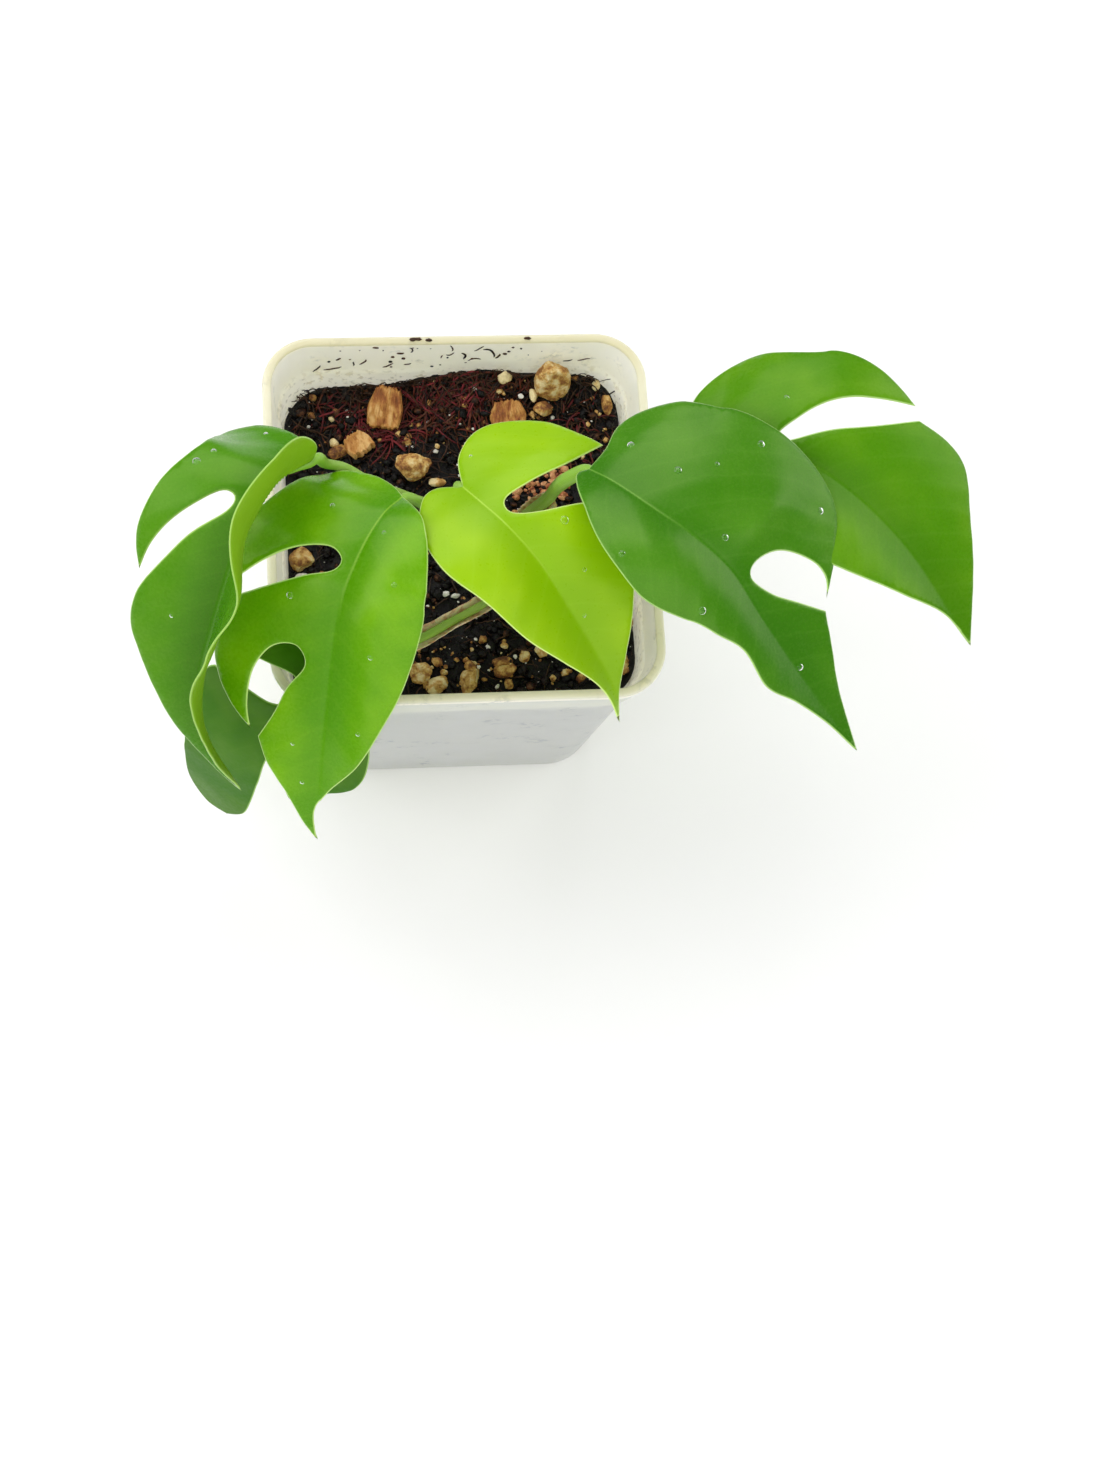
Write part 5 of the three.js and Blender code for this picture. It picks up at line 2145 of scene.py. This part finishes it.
@dataclass
class WaterDrops:
    """Small drops of water that stand on the upper faces of the leaves.

    Dome is a drop's height over its radius, and stand is the share of half the blade's thickness
    that its middle stands above the middle of the blade.
    """

    blades: tuple[Blade, ...]
    dome: float = 0.5
    stand: float = 0.8

    def drop(self, blade: Blade, along: float, across: float, radius: float) -> Geometry:
        """Set one domed drop on a blade.

        Args:
            blade: The blade that it stands on.
            along: Its distance along the midrib.
            across: Its distance to the left of the midrib.
            radius: Its radius where it wets the leaf.

        Returns:
            The drop.
        """
        points, triangles = unit_sphere(4)
        (centre,), (normal,) = blade.surface(np.array([along]), np.array([across]))
        side = unit(np.cross(normal, (0.3, 1.0, 0.1)))
        up = np.cross(side, normal)
        flat = points * radius * np.array([1, 1, self.dome])
        rise = flat[:, 2:] + self.stand * DETAIL.thickness / 2
        body = flat[:, :1] * side + flat[:, 1:2] * up + rise * normal
        return Geometry(centre + body, triangles)

    def build(self) -> None:
        """Make the drops' piece."""
        drops = [self.drop(blade, *place) for blade in self.blades for place in blade.plan.drops]
        make_piece("water_drops", Geometry.join(drops), WATER.build(), "water_drop")


@dataclass(frozen=True)
class SoftBox:
    """Square studio lamp that looks at the plant, with its distance, width and aim in metres."""

    name: str
    azimuth: float
    elevation: float
    distance: float
    width: float
    power: float
    aim: Point = (0.02, -0.02, 0.1)
    colour: str = "#ffffff"

    def build(self) -> None:
        """Hang the lamp."""
        azimuth, elevation = math.radians(self.azimuth), math.radians(self.elevation)
        direction = Vector((
            math.sin(azimuth) * math.cos(elevation), math.cos(azimuth) * math.cos(elevation),
            math.sin(elevation)))
        data = bpy.data.lights.new(self.name, "AREA")
        data.size = self.width
        data.energy = self.power
        data.color = linear(self.colour)[:3]
        lamp = bpy.data.objects.new(self.name, data)
        lamp.location = direction * self.distance + Vector(self.aim)
        lamp.rotation_euler = direction.to_track_quat("Z", "Y").to_euler()
        bpy.context.collection.objects.link(lamp)


@dataclass
class Studio:
    """Plain pale floor under soft lamps, with an even white room round it."""

    room: float = 0.22
    floor_width: float = 8.0
    lamps: tuple[SoftBox, ...] = (
        SoftBox("overhead_window", -10, 54, 1.1, 1.0, 6.8),
        SoftBox("side_window", -85, 38, 1.2, 1.1, 7.5),
        SoftBox("front_wall_bounce", 176, 40, 1.4, 2.4, 19.0),
        SoftBox("right_wall_bounce", 69, 20, 1.4, 0.95, 5.9),
    )

    def build(self) -> None:
        """Light the room and lay the floor."""
        scene = bpy.context.scene
        scene.view_settings.view_transform = "Standard"
        world = bpy.data.worlds.new("white_room")
        world.use_nodes = True
        world.node_tree.nodes["Background"].inputs["Color"].default_value = linear("#ffffff")
        world.node_tree.nodes["Background"].inputs["Strength"].default_value = self.room
        scene.world = world
        for lamp in self.lamps:
            lamp.build()
        half = self.floor_width / 2
        mesh = bpy.data.meshes.new("floor")
        corners = [(-half, -half, 0), (half, -half, 0), (half, half, 0), (-half, half, 0)]
        mesh.from_pydata(corners, [], [(0, 1, 2, 3)])
        floor = bpy.data.objects.new("floor", mesh)
        bpy.context.collection.objects.link(floor)
        mesh.materials.append(self.floor_paper())

    def floor_paper(self) -> Material:
        """Matt white background paper."""
        return Finish("matt_background_paper", 0.9).start({"Base Color": linear("#fbfbfb")})[0]


# The six leaves. The outlines hold distances along and across the midrib, in millimetres.
LEAVES = (
    BladePlan(
        "far_left", -107, FAR_LEFT_LEAF, "leaf_blade",
        rib=((-34, -1, 124), (-43, -9.5, 130), (-50, -19.5, 126.5), (-55.5, -30.5, 114), (-61, -44.5, 95),
             (-59.5, -52.5, 84), (-53, -61, 73)),
        roll=((0, 8), (1, 8)),
        left=Half(((0, 50), (0.1, 58), (0.22, 66), (0.36, 38), (0.5, 52), (0.61, 60), (0.8, 44), (1, 54)),
                  ((0, 3), (1, 3))),
        right=Half(((0, 14), (1, 8)), ((0, -1.4), (1, -0.9))),
        runs=(
            ((-2, -4.5), (-2.3, -9), (-1.4, -13.5), (1, -17.8), (2.9, -20), (4.9, -20.9), (8.9, -20.2),
             (13.9, -18), (17.7, -18.5), (22.3, -20.1), (26, -21), (33, -21.7), (38, -21), (43.5, -18.5)),
            ((37, -17.5), (31, -15.2), (25, -11.3), (20.5, -7.5), (20.5, -4.6), (24, -5), (31, -10),
             (38, -13.5), (44.5, -16.5)),
            ((50, -18), (57, -17.5), (64, -13.5), (73, -8), (84, -3.5), (92, -1.7), (98.2, 0)),
            ((88, 4.5), (76, 9), (62, 12.5), (47, 14.8), (32, 15.5), (18, 14), (9, 10.5), (3, 6), (0, 0)),
        ),
        stalk=StalkRoute(0.72, 178, 1.5, 1.05, (
            (-5, -6.2, 103.5), (-13.2, -4.3, 107), (-21.5, -1, 108.6), (-27, 2.3, 108.9),
            (-31.4, 1.3, 114.2))),
        crease=Crease(0.7, 9, 5),
        drops=((18.6, -15.8, 0.9), (15.3, -14.4, 0.6), (51.0, -8.8, 0.5), (1.6, -12.0, 0.5)),
    ),
    BladePlan(
        "front_left", -107.5, FRONT_LEFT_LEAF, "leaf_blade",
        rib=((-15, -8, 117), (-20, -13.5, 119.5), (-26, -23, 119), (-30, -33, 115), (-33.5, -52.5, 99),
             (-35, -63, 88), (-36, -74, 75)),
        roll=((0, 5), (1, 3)),
        left=Half(((0, 16), (0.5, 18), (1, 8)), ((0, -1.7), (0.5, -1.9), (1, -0.8))),
        right=Half(((0, 0), (0.5, -2), (1, 6)), ((0, -0.93), (0.5, -0.85), (1, -0.8))),
        runs=(
            ((-1.5, -4), (-1.5, -10), (1.5, -18.5), (8, -22), (17, -26), (25, -27.5), (31, -25.5)),
            ((26, -20), (21, -13), (18.5, -6.5), (20, -3), (23, -4), (26, -10), (33, -23)),
            ((38, -25), (46, -28.5), (53, -26.5), (59, -22), (63, -17)),
            ((57, -18.5), (49, -18), (42.5, -14), (41, -8.5), (45, -6), (51, -9.5), (58, -12),
             (64.5, -15)),
            ((70, -12.5), (77, -7.5), (84, -3.5), (88.6, 0)),
            ((81, -0.8), (75, 2), (66, 8.5), (56, 13), (45, 17), (32, 19), (22, 18), (12, 14.5), (4, 8.5),
             (0, 0)),
        ),
        stalk=StalkRoute(0.9, 200, 1.3, 1, ((-3, -8.8, 107.5), (-9.5, -8.5, 112.5))),
        crease=Crease(1.3, 20, 6),
        drops=((30.4, -11.3, 0.8), (10.7, -10.6, 0.6), (11.0, 2.9, 0.5), (20.9, 10.4, 0.6), (39.2, 9.0, 0.6),
               (64.1, -6.7, 0.5), (57.4, 8.2, 0.5), (73.5, -3.9, 0.5)),
    ),
    BladePlan(
        "low", -119, LOW_LEAF, "leaf_blade",
        rib=((-27.5, -37, 92), (-32, -41.5, 94), (-36.5, -46.5, 88.5), (-39, -50, 77), (-40, -54, 64.5),
             (-39, -57.5, 52), (-38, -59.5, 42)),
        roll=((0, 0), (1, -6)),
        left=Half(((0, 8), (1, 8)), ((0, -0.9), (1, -0.9))),
        right=Half(((0, 2), (1, 6)), ((0, -0.9), (1, -0.9))),
        runs=(
            ((-2, -4), (0, -10), (4, -16), (9, -19.5), (13.5, -20)),
            ((12, -12.5), (11, -6.5), (13.5, -3.5), (18, -5), (20.5, -9), (20.5, -16), (21, -24)),
            ((24, -26), (34, -28.5), (46, -31), (60, -33.5), (74, -34.8), (82, -30.5), (81.5, -23.5)),
            ((75.5, -18), (66, -14.5), (52, -10.5), (38, -6), (41, -3.5), (50, -4), (56, -3.5)),
            ((58.2, -2.4), (59, 0)),
            ((55, 2), (50.5, 4.5), (46.6, 8.6), (43.4, 12.6), (38.5, 15.5), (31, 17), (20, 16.5),
             (10, 13.5), (3, 8), (-1, 3), (0, 0)),
        ),
        stalk=StalkRoute(0.26, 222, 0.95, 1.0, ((4.5, -19.5, 78.5), (-4, -25.5, 83), (-12.5, -31, 87))),
    ),
    BladePlan(
        "young", -53, YOUNG_LEAF, "young_blade",
        rib=((-2, -6, 117), (2, -11, 119.5), (7.5, -17, 120.5), (14, -24.5, 118.5), (20.5, -33.5, 113),
             (26.5, -41.5, 106), (31, -48, 98), (33, -53, 90)),
        left=Half(((0, 12), (1, 10)), ((0, -1.2), (1, -0.8))),
        right=Half(((0, 12), (1, 10)), ((0, -1.2), (1, -0.8))),
        runs=(
            ((-3.5, -4.5), (-3, -9), (3, -14.5), (12, -17.5), (22, -16), (35, -13), (46, -8), (57, -3),
             (70.8, 0)),
            ((62, 1.2), (54, 6), (44, 13.5), (34, 20), (26, 24)),
            ((21, 15), (17, 7.5), (13, 2.8), (10, 4), (11, 10), (13.5, 20), (15, 30)),
            ((9, 28.5), (1, 26.5), (-6, 19), (-9, 12), (-6.5, 4.5), (0, 0)),
        ),
        stalk=StalkRoute(1, 90, 1.4, 1.1, ((3.8, -9, 108.2),)),
        crease=Crease(0.9, 6, 9),
        drops=((21.6, 9.9, 0.95), (31.9, 7.2, 0.5), (40.6, 1.9, 0.5), (-4.3, 6.4, 0.45)),
    ),
    BladePlan(
        "right", -42.5, RIGHT_LEAF, "leaf_blade",
        rib=((24.5, -6.5, 127), (29, -10.5, 130), (36.5, -17, 132), (45.5, -23.5, 131), (54, -30.5, 127),
             (61.5, -39.5, 120), (71.5, -49.5, 109), (85.5, -62, 93)),
        left=Half(((0, 4), (0.6, 4), (1, 10)), ((0, -0.6), (0.6, -0.6), (1, -0.8))),
        right=Half(((0, 12), (0.15, 20), (0.6, 18), (1, 10)),
                   ((0, -1.4), (0.15, -2.3), (0.6, -2.1), (1, -1))),
        runs=(
            ((0, 6), (-1.5, 13), (2, 21), (9, 27), (20, 30.5), (32, 32.5), (44, 31), (55, 24),
             (61.5, 15.5)),
            ((57, 18.3), (50, 17), (44, 12.5), (42, 6), (44, 2.8), (50, 5), (57, 9.5), (63.5, 13.5)),
            ((72, 9.5), (82, 4.5), (95.9, 0)),
            ((84, -2), (73, -5.5), (64, -9.5), (54, -9), (47, -12.5), (37, -16.5), (26, -18.5),
             (15, -14.5), (5, -8), (-1, -3), (0, 0)),
        ),
        stalk=StalkRoute(0.6, 35, 1.5, 1.4, ((13.2, -6.3, 98.5), (17, -6.3, 109), (19.5, -6, 118))),
        crease=Crease(0.6, 5, 16),
        puckers=(Pucker(37.5, 14, 2.8, 9, 0.8), Pucker(43, 11, 2.6, 6, -0.5), Pucker(70, 6, 9, 3.5, -0.5)),
        drops=((4.7, 9.3, 0.8), (28.7, 26.6, 0.85), (24.0, 16.3, 0.55), (17.3, 10.1, 0.85), (43.6, 26.1, 0.8),
               (33.9, 4.1, 0.8), (40.6, -11.9, 0.9), (68.4, 0.7, 0.8), (18.1, -13.3, 0.7)),
    ),
    BladePlan(
        "far_right", -36.5, FAR_RIGHT_LEAF, "leaf_blade",
        rib=((53, 6, 116), (59.5, 4, 119), (68.5, -0.5, 120.5), (78.5, -5.5, 119.5), (90, -14, 115),
             (101, -24.5, 108), (113.5, -38.5, 95)),
        left=Half(((0, 10), (1, 10)), ((0, -1), (1, -0.8))),
        right=Half(((0, 10), (1, 10)), ((0, -1), (1, -0.8))),
        runs=(
            ((-5, 3), (-4.5, 10), (2, 19), (13, 25.5), (25, 29.5), (37, 26.5)),
            ((28, 20), (20, 11.5), (15.5, 4.5), (16.5, 2.2), (23, 7), (32, 15.5), (39, 24)),
            ((46, 25.3), (52, 24), (60, 17), (70, 10), (83.6, 0)),
            ((73, -1.5), (60, -9), (46, -15.5), (32, -19), (18, -18.5), (6, -14), (-2, -7), (0, 0)),
        ),
        stalk=StalkRoute(0.45, 15, 1.7, 1.2, ((20.5, -7, 93), (29, -5, 102), (38, -1, 109))),
        crease=Crease(0.9, 7, 14),
        drops=((13.5, 12.0, 0.6),),
    ),
)

# Sheathed stalks: leaf, start and end along the stalk, spread in degrees, flare in millimetres
SHEATHS = (("low", 0.08, 0.66, 114, 1.0), ("right", 0.14, 0.46, 106, 0.9))


def build_plant() -> tuple[Blade, ...]:
    """Build the stem, stalks, sheaths and blades.

    Returns:
        The blades, in the order of the plans.
    """
    stem = Stem(nodes=tuple(plan.stalk.node for plan in LEAVES))
    stem.build()
    blades = tuple(Blade(plan) for plan in LEAVES)
    stalks = {}
    for blade in blades:
        blade.build()
        stalk = Stalk(blade, stem)
        stalk.build()
        stalks[blade.plan.name] = stalk
    for name, start, end, spread, flare in SHEATHS:
        Sheath(stalks[name], start, end, spread, flare).build()
    return blades


def main() -> None:
    """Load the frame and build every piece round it."""
    logging.basicConfig(level=logging.INFO, format="%(name)s: %(message)s")
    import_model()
    PhotoCamera().build()
    Studio().build()
    _, pot_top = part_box("pot")
    pot = NurseryPot(height=pot_top[2] / MM, rim_half=pot_top[0] / MM)
    pot.build()
    PottingMix(pot).build()
    Pebbles().build()
    SmallChips(pot).build()
    WallDebris(pot).build()
    BarkChips().build()
    WaterDrops(build_plant()).build()


if __name__ == "__main__":
    main()
